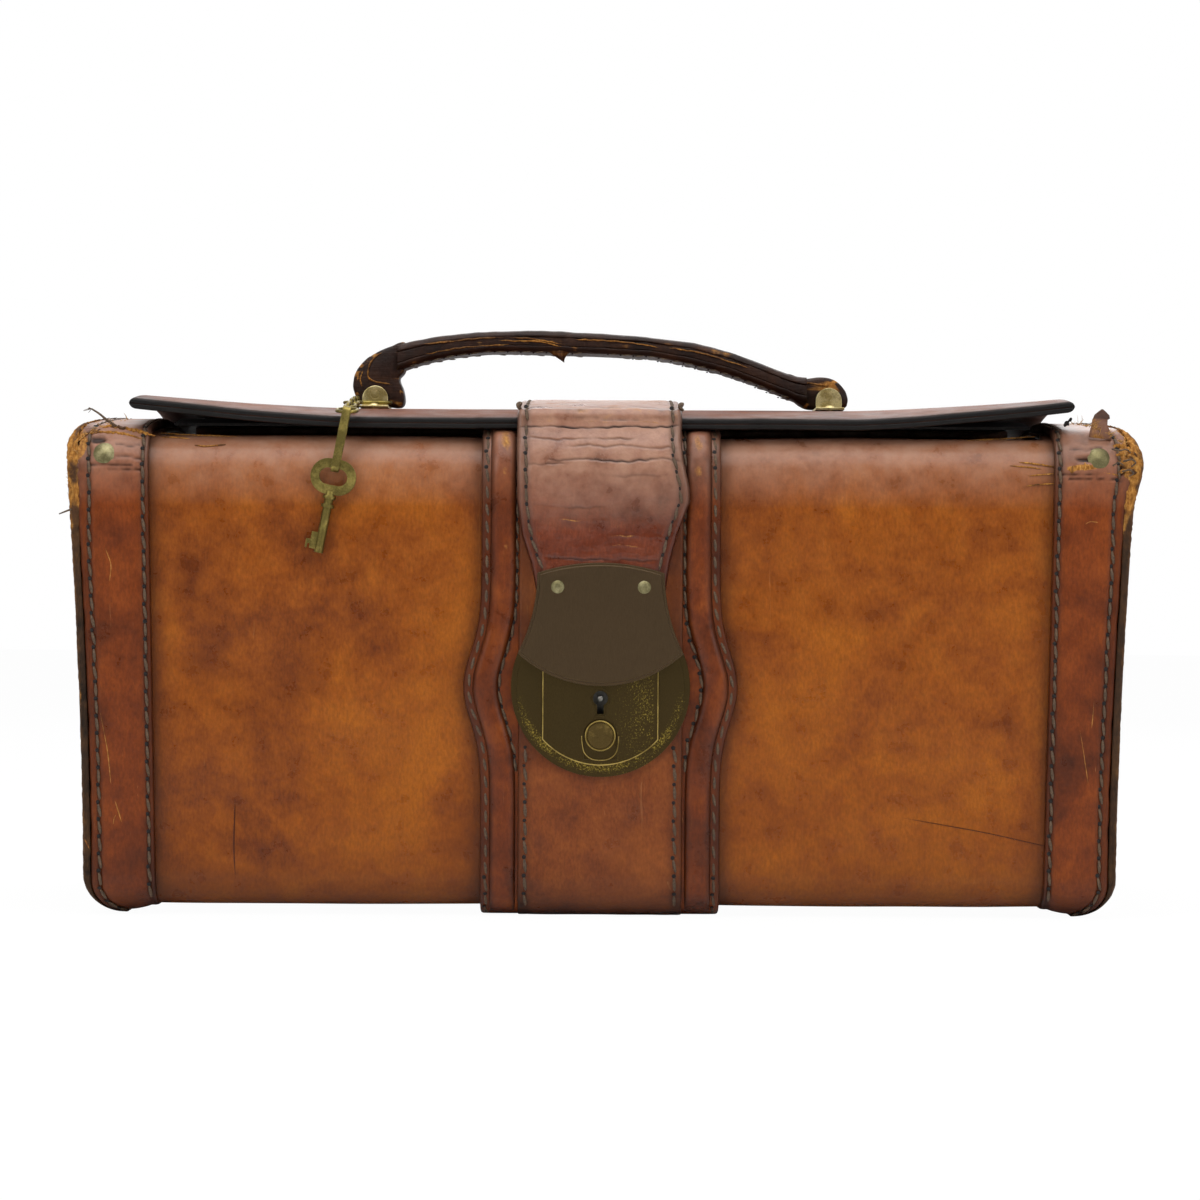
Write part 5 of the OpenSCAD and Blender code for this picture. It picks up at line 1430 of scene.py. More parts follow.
@dataclass
class Strap:
    """The strap that is sewn on the lid, folds over its edge and carries the hasp.

    Attributes:
        palette: the materials.
        thick: its thickness.
        over: distance of its underside on the lid from the hide.
        front_y: y of its middle where it hangs straight.
        end_z: height of its lower end.
        straight_z: height where it begins to hang straight.
        fold: y and z of the fold's centre.
        root_y: y of its end on the lid.
        seam: distance of its stitches from its edges.
    """

    palette: Palette
    thick: float = 2.9
    over: float = 6.85
    front_y: float = -73.35
    end_z: float = 102.4
    straight_z: float = 135.8
    fold: tuple[float, float] = (-65.4, 159.8)
    root_y: float = 30.0
    seam: float = 3.0
    # Height and x along the left and the right edge
    LEFT = ((165.0, -27.0), (152.0, -27.2), (133.0, -26.9), (122.0, -25.4), (113.0, -22.4), (104.0, -20.6),
            (100.0, -20.0))
    RIGHT = ((165.0, 25.8), (152.0, 25.6), (146.0, 26.2), (137.0, 28.2), (133.0, 28.3), (122.0, 24.2), (113.0, 21.9),
             (104.0, 20.6), (100.0, 20.0))
    # Cracks, and pale lines on raised ridges, partly rubbed and partly painted highlight, across it: height, strength,
    # and the shares of the width where they start and stop
    CRACKS = ((161.6, 0.45, 0.0, 1.0), (159.2, 0.4, 0.1, 0.9), (156.4, 1.0, 0.02, 0.98), (152.0, 0.5, 0.0, 0.7),
              (149.6, 0.4, 0.3, 0.95), (145.9, 1.0, 0.2, 0.97), (144.2, 0.6, 0.05, 0.3), (141.0, 0.3, 0.55, 0.9),
              (131.0, 0.4, 0.1, 0.5), (114.4, 0.8, 0.15, 0.9))
    RUBS_AND_HIGHLIGHTS = ((158.0, 0.2, 0.1, 0.95), (140.2, 0.4, 0.6, 0.85), (127.1, 0.9, 0.2, 0.55),
              (121.7, 0.9, 0.55, 0.97), (118.4, 0.8, 0.55, 0.8), (124.6, 0.35, 0.05, 0.4), (116.0, 0.5, 0.1, 0.9))

    def line(self) -> np.ndarray:
        """Points along the strap's middle, from the root to the end, as y and z."""
        mid = self.thick / 2
        y = np.linspace(self.root_y, self.fold[0] + 0.4, 130)
        root = np.column_stack([y, FORM.crown_z(self.over + mid, y)])
        a = np.linspace(0.12, math.pi / 2, 10)
        turn = np.column_stack([self.fold[0] - mid * np.sin(a), self.fold[1] + mid * np.cos(a)])
        start = np.array([self.fold[0] - mid, self.fold[1] - 0.1])
        knots = [start, np.array([self.fold[0] - 2.6, self.fold[1] - 9]),
                 np.array([self.front_y, self.straight_z + 17]), np.array([self.front_y, self.straight_z])]
        t = np.linspace(0.04, 1, 96)[:, None]
        hang = ((1 - t) ** 3 * knots[0] + 3 * t * (1 - t) ** 2 * knots[1] + 3 * t**2 * (1 - t) * knots[2]
                + t**3 * knots[3])
        z = np.linspace(self.straight_z - 0.35, self.end_z, 96)
        return np.vstack([root, turn, hang, np.column_stack([np.full_like(z, self.front_y), z])])

    def sides(self, y: float, z: float) -> tuple[float, float]:
        """x of the left and right edge at a point of the line."""
        z = z if y < self.fold[0] + 1 else 164.0
        left, right = (float(np.interp(-z, *(np.array(side) * [-1, 1]).T)) for side in (self.LEFT, self.RIGHT))
        return left, right

    def lines_at(self, lines: Sequence[tuple[float, float, float, float]], y: float, z: float,
                 share: np.ndarray) -> np.ndarray:
        """Strength of wavy lines across the strap, 0 to 1, at shares of its width.

        Args:
            lines: height, strength, start and stop of each line.
            y: y of the strap's middle there.
            z: its height.
            share: shares of the width.

        Returns:
            The strength at each share.
        """
        depth = np.zeros_like(share)
        if y > self.fold[0] + 12:
            return depth
        for k, (height, strong, start, stop) in enumerate(lines):
            if abs(z - height) < 3.5:
                path = height + 1.1 * rough_noise(share * 5, k * 2.3) + 0.5 * rough_noise(share * 21, k * 5.1)
                inside = smooth_step(share, start - 0.05, start + 0.05) * smooth_step(stop - share, -0.05, 0.05)
                gaps = np.clip(0.7 + 0.8 * rough_noise(share * 7, k * 9.7), 0, 1)
                depth = np.maximum(depth, strong * inside * gaps * bell(z, path, 0.36))
        return depth

    def build(self) -> None:
        """Makes the strap as one piece, from its root on the lid round the fold to its hanging end, and its sewing."""
        line = self.line()
        way = np.gradient(line, axis=0)
        way /= np.linalg.norm(way, axis=1)[:, None]
        out = np.column_stack([way[:, 1], -way[:, 0]])
        share = np.linspace(0, 1, 71)
        half = self.thick / 2
        rows, worn, crack, raw, seams = [], [], [], [], {-1: [], 1: []}
        for k, (y, z) in enumerate(line):
            left, right = self.sides(y, z)
            w = right - left
            u = share * w
            near = np.minimum(u, w - u)
            roll = half * np.sqrt(np.clip(1 - (1 - np.clip(near / 1.5, 0, 1)) ** 2, 0, 1))
            dent = 0.45 * bell(near, self.seam, 0.8)
            broken = self.lines_at(self.CRACKS, y, z, share)
            # Pale raised lines: partly rubbed leather, partly a painted highlight as if their ridges caught the light
            rubbed = self.lines_at(self.RUBS_AND_HIGHLIGHTS, y, z, share)
            ripple = 0.16 * rough_noise(u / 5, (y - z) / 3.2)
            top = roll + (0.25 + ripple) * np.clip(near / 4, 0, 1) - dent - 0.5 * broken + 0.15 * rubbed
            if k > len(line) - 6:
                top -= 0.25 * (k - len(line) + 6)
            face, back = (np.column_stack([left + u, y + out[k, 0] * o, z + out[k, 1] * o]) for o in (top, -roll))
            rows.append(np.vstack([face, back[-2:0:-1]]))
            dirt = 0.9 * np.exp(-near / 1.3) + 0.55 * bell(near, self.seam, 1.1)
            worn.append(np.concatenate([dirt, dirt[-2:0:-1]]))
            crack.append(np.concatenate([1.2 * broken, np.zeros(len(share) - 2)]))
            bend = 0.36 * float(smooth_step(z, 152.5, 160.5)) if y < self.fold[0] + 20 else 0.2
            # The pale lines get the fibre colour, partly rubbed leather and partly painted highlight; bend bares the
            # fold
            raw.append(np.concatenate([0.75 * rubbed + bend, np.zeros(len(share) - 2)]))
            if self.end_z + 10.5 < z or y > self.fold[0]:
                for side in (-1, 1):
                    sx = left + self.seam if side < 0 else right - self.seam
                    raised = half - 0.2
                    seams[side].append([sx, y + out[k, 0] * raised, z + out[k, 1] * raised, 0, out[k, 0], out[k, 1]])
        strap = sweep("strap_leather_worn", rows, self.palette["strap"], worn=worn, crack=crack, raw=raw)
        stitches = Stitching(seed=5, length=4.7).sew(
            "strap_stitches", [np.array(seams[-1]), np.array(seams[1])], self.palette)
        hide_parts("strap_root", "strap_fold", "strap_leather")
        for piece, slot in ((strap, "band_leather"), (stitches, "linen")):
            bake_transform(piece)
            log.info("%s: %d faces from lid to strap", piece.name, len(piece.data.polygons))


# Handle


@dataclass
class Handle:
    """The stacked leather handle: three layers and the loops round the cross pins.

    Attributes:
        palette: the materials.
        half_w: half its width in the middle.
        half_w_end: half its width at the ends.
    """

    palette: Palette
    half_w: float = 11.0
    half_w_end: float = 8.0
    # Places x, z along the upper and the lower edge in the front view
    TOP = ((-69.5, 186.8), (-66.1, 188.0), (-54.0, 190.1), (-42.0, 191.4), (-22.8, 192.0), (-4.4, 191.2), (12.1, 190.3),
           (31.2, 188.0), (43.3, 185.0), (53.0, 181.6), (61.8, 178.0), (69.5, 176.4))
    LOW = ((-69.5, 177.4), (-66.1, 179.3), (-58.4, 181.6), (-50.4, 183.3), (-38.9, 184.7), (-28.5, 184.8),
           (-1.7, 184.2), (16.4, 183.4), (28.2, 181.3), (40.3, 178.3), (52.4, 174.2), (64.5, 169.2), (69.5, 167.2))
    # Outlines x, z of the loops in the front view
    LEFT_LOOP = ((-66.5, 187.6), (-71.0, 186.6), (-75.9, 184.5), (-80.3, 181.6), (-83.2, 177.6), (-83.9, 173.0),
                 (-82.4, 168.8), (-79.0, 166.7), (-72.5, 166.4), (-68.0, 166.4), (-66.6, 168.6), (-67.3, 172.4),
                 (-68.4, 175.8), (-66.5, 179.0))
    RIGHT_LOOP = ((62.0, 177.8), (68.0, 176.3), (74.6, 176.9), (79.2, 175.4), (82.2, 172.0), (82.9, 168.6),
                  (80.6, 166.5), (70.6, 166.4), (67.4, 167.4), (64.5, 169.3), (62.0, 170.4))
    # Places x, z of each pale edge, and its y (below -7: on the side of the stack)
    SPLITS = (
        (((-65.8, 186.5), (-54.7, 187.6), (-37.8, 189.6), (-25.3, 189.4), (-12.0, 187.0)), -11.0),
        (((-35.4, 188.4), (-20.9, 188.2), (-13.2, 186.2)), -11.0),
        (((-9.8, 188.9), (8.1, 188.1), (19.2, 186.3)), -11.0),
        (((22.0, 186.4), (36.0, 184.0), (50.0, 179.4)), -11.0),
        (((-60.0, 183.6), (-48.0, 186.0), (-30.0, 187.2)), -11.0),
        (((-73.6, 184.8), (-77.5, 182.4), (-79.2, 178.1), (-78.7, 174.7), (-73.6, 174.1), (-70.8, 173.6)), -6.5),
        (((-80.6, 178.4), (-81.6, 175.4), (-80.8, 172.6)), -6.4),
        (((66.0, 175.2), (72.0, 174.6), (77.0, 173.8)), -6.5),
    )
    # Name, lower and upper limit as shares of the half height, how far it is drawn in, and its node
    LAYERS = (("handle_top_layer", 0.40, 1.0, 0.0, "handle_top_leather"),
              ("handle_core_layer", -0.42, 0.40, 0.2, "handle_core"),
              ("handle_bottom_layer", -1.0, -0.42, 0.0, "handle_bottom_leather"))

    def height(self, x: np.ndarray) -> tuple[np.ndarray, np.ndarray]:
        """Middle and half height of the handle at x."""
        top, low = (np.interp(x, *np.array(line).T) for line in (self.TOP, self.LOW))
        return (top + low) / 2, (top - low) / 2

    def width(self, x: np.ndarray | float) -> np.ndarray | float:
        """Half width of the handle at x."""
        return self.half_w + (self.half_w_end - self.half_w) * (x / 69.0) ** 2

    def layer(self, name: str, low: float, high: float, draw_in: float, node: str) -> None:
        """One layer of the stack with its worn, wavy edge."""
        xs = np.linspace(-69, 69, 180)
        # Rounded edges: distance in, and drop as a share of the layer's thickness
        corner = ((0.0, 0.12), (0.066, 0.05), (0.352, 0.0))
        outer = ((0.0, 0.75), (0.55, 0.3), (2.42, 0.0))
        rows, raw, worn = [], [], []
        middles, halves = self.height(xs)
        smooth = np.convolve(np.pad(middles, 4, mode="edge"), np.ones(9) / 9, mode="valid")
        for x, mid, half in zip(xs, smooth, halves):
            w = self.width(x) - draw_in + 0.35 * rough_noise(x / 3.5, low * 9) + 0.2 * rough_noise(x / 1.1, low * 5)
            z0 = mid + half * (low + (0.07 * rough_noise(x / 9, 1.0) if low > -1 else 0))
            z1 = mid + half * (high + (0.07 * rough_noise(x / 9, 1.0 + high) if high < 1 else 0))
            z1 += 0.2 * rough_noise(x / 5, 8.0)
            t = z1 - z0
            upper = [(w - y_in, z1 - drop * t) for y_in, drop in (outer if high == 1.0 else corner)]
            lower = [(w - y_in, z0 + drop * t) for y_in, drop in (outer if low == -1.0 else corner)]
            section = [(-y, z) for y, z in upper] + [(-w * 0.5, z1 + 0.1), (0, z1 + 0.15), (w * 0.5, z1 + 0.1)]
            section += upper[::-1] + lower + [(w * 0.5, z0), (0, z0 - 0.05), (-w * 0.5, z0)]
            section += [(-y, z) for y, z in lower[::-1]]
            rows.append(np.array([(x, y, z) for y, z in section]))
            streak = 0.5 + 0.9 * rough_noise(x / 7, low * 4) + 0.4 * rough_noise(x / 2.0, low * 7)
            at_edge = np.array([1.0 if abs(y) > w * 0.9 else 0.0 for y, _ in section])
            raw.append(np.clip(0.42 * streak * at_edge, 0, 0.5))
            worn.append([0.5 + 0.5 * rough_noise(x / 6, low * 2)] * len(section))
        piece = sweep(name, rows, self.palette["handle"], raw=raw, worn=worn)
        place(piece, "handle", "handle_leather", node)

    def loop(self, name: str, outline: Sequence[tuple[float, float]], half: float, node: str) -> None:
        """A leather loop: a rounded outline, full at its sides."""
        corners = np.array(outline, float)
        n = len(corners)
        dense = []
        for i in range(n):
            p0, p1, p2, p3 = (corners[(i + k) % n] for k in (-1, 0, 1, 2))
            for t in np.linspace(0, 1, 7, endpoint=False):
                dense.append(0.5 * (2 * p1 + (p2 - p0) * t + (2 * p0 - 5 * p1 + 4 * p2 - p3) * t**2
                                    + (3 * p1 - p0 - 3 * p2 + p3) * t**3))
        line = np.array(dense)
        centre = line.mean(axis=0)
        rows, raw = [], []
        for y, shrink in ((-half, 1.2), (-half + 0.3, 0.45), (-half + 1.1, 0.0), (-half / 3, -0.15), (half / 3, -0.15),
                          (half - 1.1, 0.0), (half - 0.3, 0.45), (half, 1.2)):
            away = line - centre
            size = np.linalg.norm(away, axis=1)[:, None]
            rag = 0.22 * rough_noise(line[:, 0] / 2.5, line[:, 1] / 2.5, y)[:, None]
            ring = line - away / size * (shrink + rag)
            rows.append(np.column_stack([ring[:, 0], np.full(len(ring), y), ring[:, 1]]))
            raw.append(0.32 + 0.6 * rough_noise(line[:, 0] / 2, line[:, 1] / 2, 4.0))
        piece = sweep(name, rows, self.palette["handle"], raw=raw, worn=0.4)
        place(piece, "handle", "handle_leather", node)

    def flap(self) -> None:
        """The torn tip of the lower layer that hangs under the middle."""
        tip_x, tip_z, y = -14.4, 181.2, -9.6
        rows = []
        for t in np.linspace(0, 1, 9):
            half = 4.0 * (1 - t) ** 1.2 + 0.12
            x = tip_x + 1.6 * t * t
            z = 185.2 - (185.2 - tip_z) * t
            deep = 0.55 * (1 - 0.6 * t)
            rows.append([(x - half, y, z), (x, y - deep, z), (x + half, y, z), (x, y + deep, z)])
        place(sweep("handle_torn_tip", rows, self.palette["handle"], raw=0.45), "handle", "handle_leather")

    def splits(self) -> None:
        """Pale raw edges where the layers have come apart, drawn out along the handle."""
        skin = Skin("handle_split_edges")
        for k, (places, y) in enumerate(self.SPLITS):
            line = smooth_line([(x, y if y > -7 else -self.width(x) - 0.05, z) for x, z in places], 90)
            line[:, 2] += 0.25 * rough_noise(line[:, 0] / 2.0, k * 3.0)
            skin.tube(line, lambda t, q=k: (0.24 + 0.2 * rough_noise(t * 14, q * 2.0)) * (1 - abs(2 * t - 1) ** 6),
                      raw=0.52)
        place(skin.build(self.palette["handle"]), "handle", "handle_leather")

    def sewing(self) -> None:
        """The frayed pale stitches that show along both lower edges."""
        rows = []
        for side in (-1, 1):
            for start, stop in ((-64, -8), (4, 62)):
                xs = np.linspace(start, stop, 60)
                mid, half = self.height(xs)
                z = mid - half * 0.97 + 0.25 * rough_noise(xs / 3, 4.0)
                y = side * (self.width(xs) - 1.9)
                rows.append(np.column_stack([xs, y, z, np.tile([0.0, side * 0.6, -0.8], (len(xs), 1))]))
        sewing = Stitching(pitch=4.2, length=3.1, width=0.6, height=0.45, slant=7, wander=9, seed=11)
        place(sewing.sew("handle_stitches", rows, self.palette, "pale_thread"), "handle", "linen")

    def build(self) -> None:
        """Makes the handle."""
        for layer in self.LAYERS:
            self.layer(*layer)
        self.loop("handle_left_loop", self.LEFT_LOOP, 6.4, "left_handle_loop")
        self.loop("handle_right_loop", self.RIGHT_LOOP, 6.4, "right_handle_loop")
        self.flap()
        self.splits()
        self.sewing()


# Wear at the corners


@dataclass
class Wear:
    """Torn flaps, frayed layers and loose thread ends at the upper front corners.

    Attributes:
        palette: the materials.
        seed: seed of the frayed fibres.
    """

    palette: Palette
    seed: int = 7
    # Places x, z along the flake's middle, then half its width, its lift and the surface under it
    FLAKES = (
        (((-162.6, 156.4), (-157.1, 156.6), (-150.7, 155.4), (-143.7, 153.6)), 0.9, 0.7, 3.0),
        (((-165.8, 154.0), (-160.7, 154.8), (-153.9, 154.3), (-147.0, 152.2)), 0.55, 0.5, 3.0),
        (((-170.6, 148.8), (-168.9, 151.6), (-165.6, 154.2), (-161.0, 155.9)), 1.1, 0.9, 2.9),
        (((-143.0, 154.9), (-136.0, 154.3), (-128.0, 153.9), (-118.0, 153.7)), 0.32, 0.3, 0.2),
        (((-142.0, 153.2), (-138.0, 153.3), (-133.0, 152.8)), 0.22, 0.25, 0.3),
        (((-131.0, 150.6), (-127.0, 150.3), (-121.0, 150.9)), 0.16, 0.2, 0.5),
        (((148.6, 143.7), (152.0, 144.3), (155.5, 145.0), (158.9, 144.8)), 0.95, 0.7, 3.0),
        (((158.0, 143.2), (162.0, 142.8), (166.0, 142.0)), 0.3, 0.4, 3.0),
        (((163.6, 151.6), (166.6, 152.0), (169.6, 150.2), (172.6, 147.4)), 0.9, 0.9, 2.9),
        (((164.6, 148.8), (167.6, 149.2), (170.8, 147.2)), 0.6, 0.8, 3.0),
        (((165.0, 143.0), (168.0, 143.8), (171.6, 143.0)), 0.6, 0.8, 3.0),
        (((134.0, 146.4), (139.0, 145.9), (144.0, 145.2), (147.4, 144.6)), 0.28, 0.25, 0.35),
        (((131.0, 145.2), (136.0, 144.9), (141.0, 144.3)), 0.2, 0.2, 0.4),
        (((137.0, 142.0), (141.0, 142.3), (145.6, 142.8)), 0.2, 0.2, 0.4),
        (((136.0, 138.6), (140.5, 139.2), (146.0, 139.6)), 0.2, 0.2, 0.4),
        (((118.0, 153.6), (126.0, 154.0), (134.0, 154.6), (141.0, 155.4)), 0.25, 0.25, 0.2),
    )
    # Places x, z, then the radius, the surface under the mark, and whether it is light
    MARKS = (
        (((-155.5, 37.4), (-154.0, 33.0), (-152.3, 27.2)), 0.3, 3.1, True),
        (((-154.2, 33.4), (-155.4, 30.6), (-155.8, 28.0)), 0.22, 3.1, True),
        (((-164.8, 24.0), (-163.2, 20.8)), 0.25, 3.1, True),
        (((-160.0, 64.6), (-157.5, 52.0), (-156.4, 41.0)), 0.16, 3.2, True),
        (((-159.0, 118.0), (-156.6, 112.0), (-157.4, 105.0)), 0.18, 3.2, True),
        (((152.5, 66.0), (154.6, 54.0), (156.4, 42.0)), 0.16, 3.2, True),
        (((158.0, 70.0), (157.2, 61.0)), 0.14, 3.2, True),
        (((154.0, 126.0), (156.4, 127.4), (159.4, 127.0)), 0.2, 3.2, True),
        (((-117.0, 37.0), (-117.4, 22.0), (-116.6, 9.0)), 0.22, 0.25, False),
        (((97.3, 32.0), (124.0, 27.4), (150.0, 21.6)), 0.1, 0.3, False),
    )
    # Places x, y, z, then the radius
    THREADS = (
        (((-156.6, -61.5, 156.6), (-159.4, -64.5, 158.6), (-161.4, -65.2, 160.4), (-164.0, -65.6, 162.0)), 0.5),
        (((-169.6, -70.0, 129.6), (-172.0, -70.8, 128.6), (-173.4, -71.2, 128.0)), 0.35),
        (((163.6, -68.4, 150.6), (165.6, -70.2, 150.0), (168.0, -70.2, 150.6), (169.4, -69.0, 149.4)), 0.34),
        (((167.0, -69.8, 146.6), (169.6, -71.4, 147.4), (171.0, -70.9, 146.2), (169.4, -70.6, 144.9)), 0.36),
        (((166.6, -70.2, 143.4), (168.8, -71.6, 144.0), (170.4, -71.0, 142.8), (168.6, -70.8, 141.8)), 0.34),
        (((163.6, -70.4, 145.2), (165.2, -71.8, 146.4), (166.8, -71.2, 145.4)), 0.3),
    )

    def flakes(self) -> None:
        """Frayed layers and light scratches that lie on the leather."""
        skin = Skin("frayed_layers")
        for k, (places, half, lift, under) in enumerate(self.FLAKES):
            line = smooth_line([(x, 0.0, z) for x, z in places], 90)
            v = np.linspace(-1, 1, 7)
            rows, raw = [], []
            for i, (x, _, z) in enumerate(line):
                t = i / 89
                taper = min(1.0, 5 * t + 0.1, 5 * (1 - t) + 0.1)
                wide = half * taper * (1 + 0.6 * rough_noise(x / 1.3, k * 2.9))
                mid = z + 0.5 * half * rough_noise(x / 0.9, k * 5.3)
                s_mid = PATH.front_at(mid, under)
                step = s_mid + v * wide
                rise = lift * (1 - v**2) * (0.7 + 0.6 * rough_noise(x / 0.7, k * 1.9)) * taper
                ridge = 0.25 * lift * rough_noise(x / 2.5, v * 3.0, k)
                y, zz = PATH.at(step, under + rise + ridge)
                yb, zb = PATH.at(step[-2:0:-1], np.full(len(v) - 2, under - 0.3))
                x_row = np.full_like(y, x)
                rows.append(np.vstack([np.column_stack([x_row, y, zz]), np.column_stack([x_row[1:-1], yb, zb])]))
                tone = 0.62 + 0.5 * rough_noise(x / 3.0, k * 7.1) + 0.25 * rough_noise(x / 0.8, k * 3.1)
                raw.append([tone] * (2 * len(v) - 2))
            skin.grid(np.array(rows), wrap=True, caps=True, raw=raw, worn=0.25)
        place(skin.build(self.palette["raw"]), "case", "raw_edge")

    def marks(self) -> None:
        """Scratches down the bands, and the crease in the left panel."""
        skin = Skin("scratches")
        for places, radius, under, light in self.MARKS:
            line = smooth_line([(x, 0.0, z) for x, z in places], 40)
            for q in line:
                q[1:] = PATH.at(PATH.front_at(q[2], under), under)
            skin.tube(line, lambda t, r=radius: r * (1 - abs(2 * t - 1) ** 3) + 0.02, 6,
                      **({"raw": 0.6} if light else {"crack": 0.8}))
        place(skin.build(self.palette["band"]), "case", "band_leather")

    def knots(self) -> None:
        """The thread knots on both sides of the strap's fold."""
        skin = Skin("strap_knots")
        for x in (-26.6, 25.4):
            turn = np.linspace(0, 9.5, 60)
            skin.tube(np.column_stack([x + 0.5 * np.sin(turn * 1.7), -64.6 + 1.1 * np.cos(turn),
                                       163.6 + 1.0 * np.sin(turn)]), 0.5)
        place(skin.build(self.palette["thread"]), "lid", "linen")

    def tab(self) -> None:
        """The torn tab that stands up at the right corner: a pale neck with a dark square tip."""
        # x, z of the left and of the right edge, from the foot to the tip
        sides = ((156.6, 154.6, 164.0, 153.8), (157.1, 157.0, 163.4, 156.6), (157.5, 158.8, 162.5, 158.5),
                 (157.7, 160.3, 162.5, 160.1), (157.9, 160.7, 163.2, 160.5), (158.3, 161.8, 163.0, 161.5),
                 (159.6, 162.9, 161.8, 162.7), (160.4, 163.5, 160.9, 163.4))
        rows, raw, edge = [], [], []
        for k, (x0, z0, x1, z1) in enumerate(sides):
            y = -63.6 - 0.35 * k
            across = np.linspace(0, 1, 9)
            x = x0 + (x1 - x0) * across
            z = z0 + (z1 - z0) * across
            bow = 0.5 * np.sin(np.pi * across)
            face = np.column_stack([x, y - bow - 0.5, z])
            rows.append(np.vstack([face, np.column_stack([x, y - bow + 0.7, z])[::-1]]))
            neck = k < 4
            raw.append(np.tile(neck * (0.42 + 0.2 * rough_noise(x / 2, k)), 2))
            edge.append(np.full(2 * len(x), 0.0 if neck else 0.6))
        piece = sweep("torn_tab", rows, self.palette["band"], raw=raw, edge=edge, worn=0.2)
        place(piece, "case", "raw_edge")

    def threads(self) -> None:
        """Short loose ends of sewing thread, and the fibres of the torn seams."""
        rng = np.random.default_rng(self.seed)
        skin = Skin("loose_threads")
        for knots, radius in self.THREADS:
            skin.tube(smooth_line(knots, 36), lambda t, r=radius: r * (1 - 0.45 * t))
        tip = np.array(self.THREADS[0][0][-1])
        for _ in range(7):
            way = rng.normal([-0.6, 0, 0.35], 0.5)
            line = smooth_line([tip, tip + way * 0.9, tip + way * 1.5 + rng.normal(0, 0.3, 3)], 12)
            skin.tube(line, lambda t: 0.13 * (1 - 0.5 * t), 5)
        place(skin.build(self.palette["thread"]), "case", "linen")
        fibres = Skin("torn_fibres")
        for side, count in ((-1, 60), (1, 90)):
            for _ in range(count):
                t = rng.random()
                if rng.random() < 0.5:
                    start = np.array([side * (150 + 18 * t), -63.0 - 4 * t, 158.8 - 7.0 * t**2])
                else:
                    start = np.array([side * (167.5 + 2.6 * t), -68.0, 150.0 - 16.0 * t])
                way = np.array([side * rng.normal(0.8, 0.9), rng.normal(-0.7, 0.5), rng.normal(0.6, 0.9)])
                reach = rng.uniform(0.5, 1.6)
                line = smooth_line([start, start + way * reach * 0.5,
                                   start + way * reach * 0.8 + rng.normal(0, 0.4, 3)], 8)
                thick = rng.uniform(0.07, 0.2)
                fibres.tube(line, lambda t, r=thick: r * (1 - 0.7 * t), 4)
        place(fibres.build(self.palette["fibre"]), "case", "raw_edge")

    def curl(self) -> None:
        """The small curl of thread under the lid's right tip."""
        skin = Skin("tip_curl")
        turn = np.linspace(0, 7.5, 60)
        line = np.column_stack([149.4 + 0.8 * np.cos(turn) + 0.15 * turn, np.full(60, -62.0),
                                158.4 + 0.9 * np.sin(turn * 1.3) + 0.22 * turn])
        skin.tube(line, 0.36, worn=1.0)
        place(skin.build(self.palette["hole"]), "lid", "linen")

    def build(self) -> None:
        """Makes all of the wear that stands off the leather."""
        self.flakes()
        self.marks()
        self.knots()
        self.tab()
        self.threads()
        self.curl()


# Metal, lining and boards


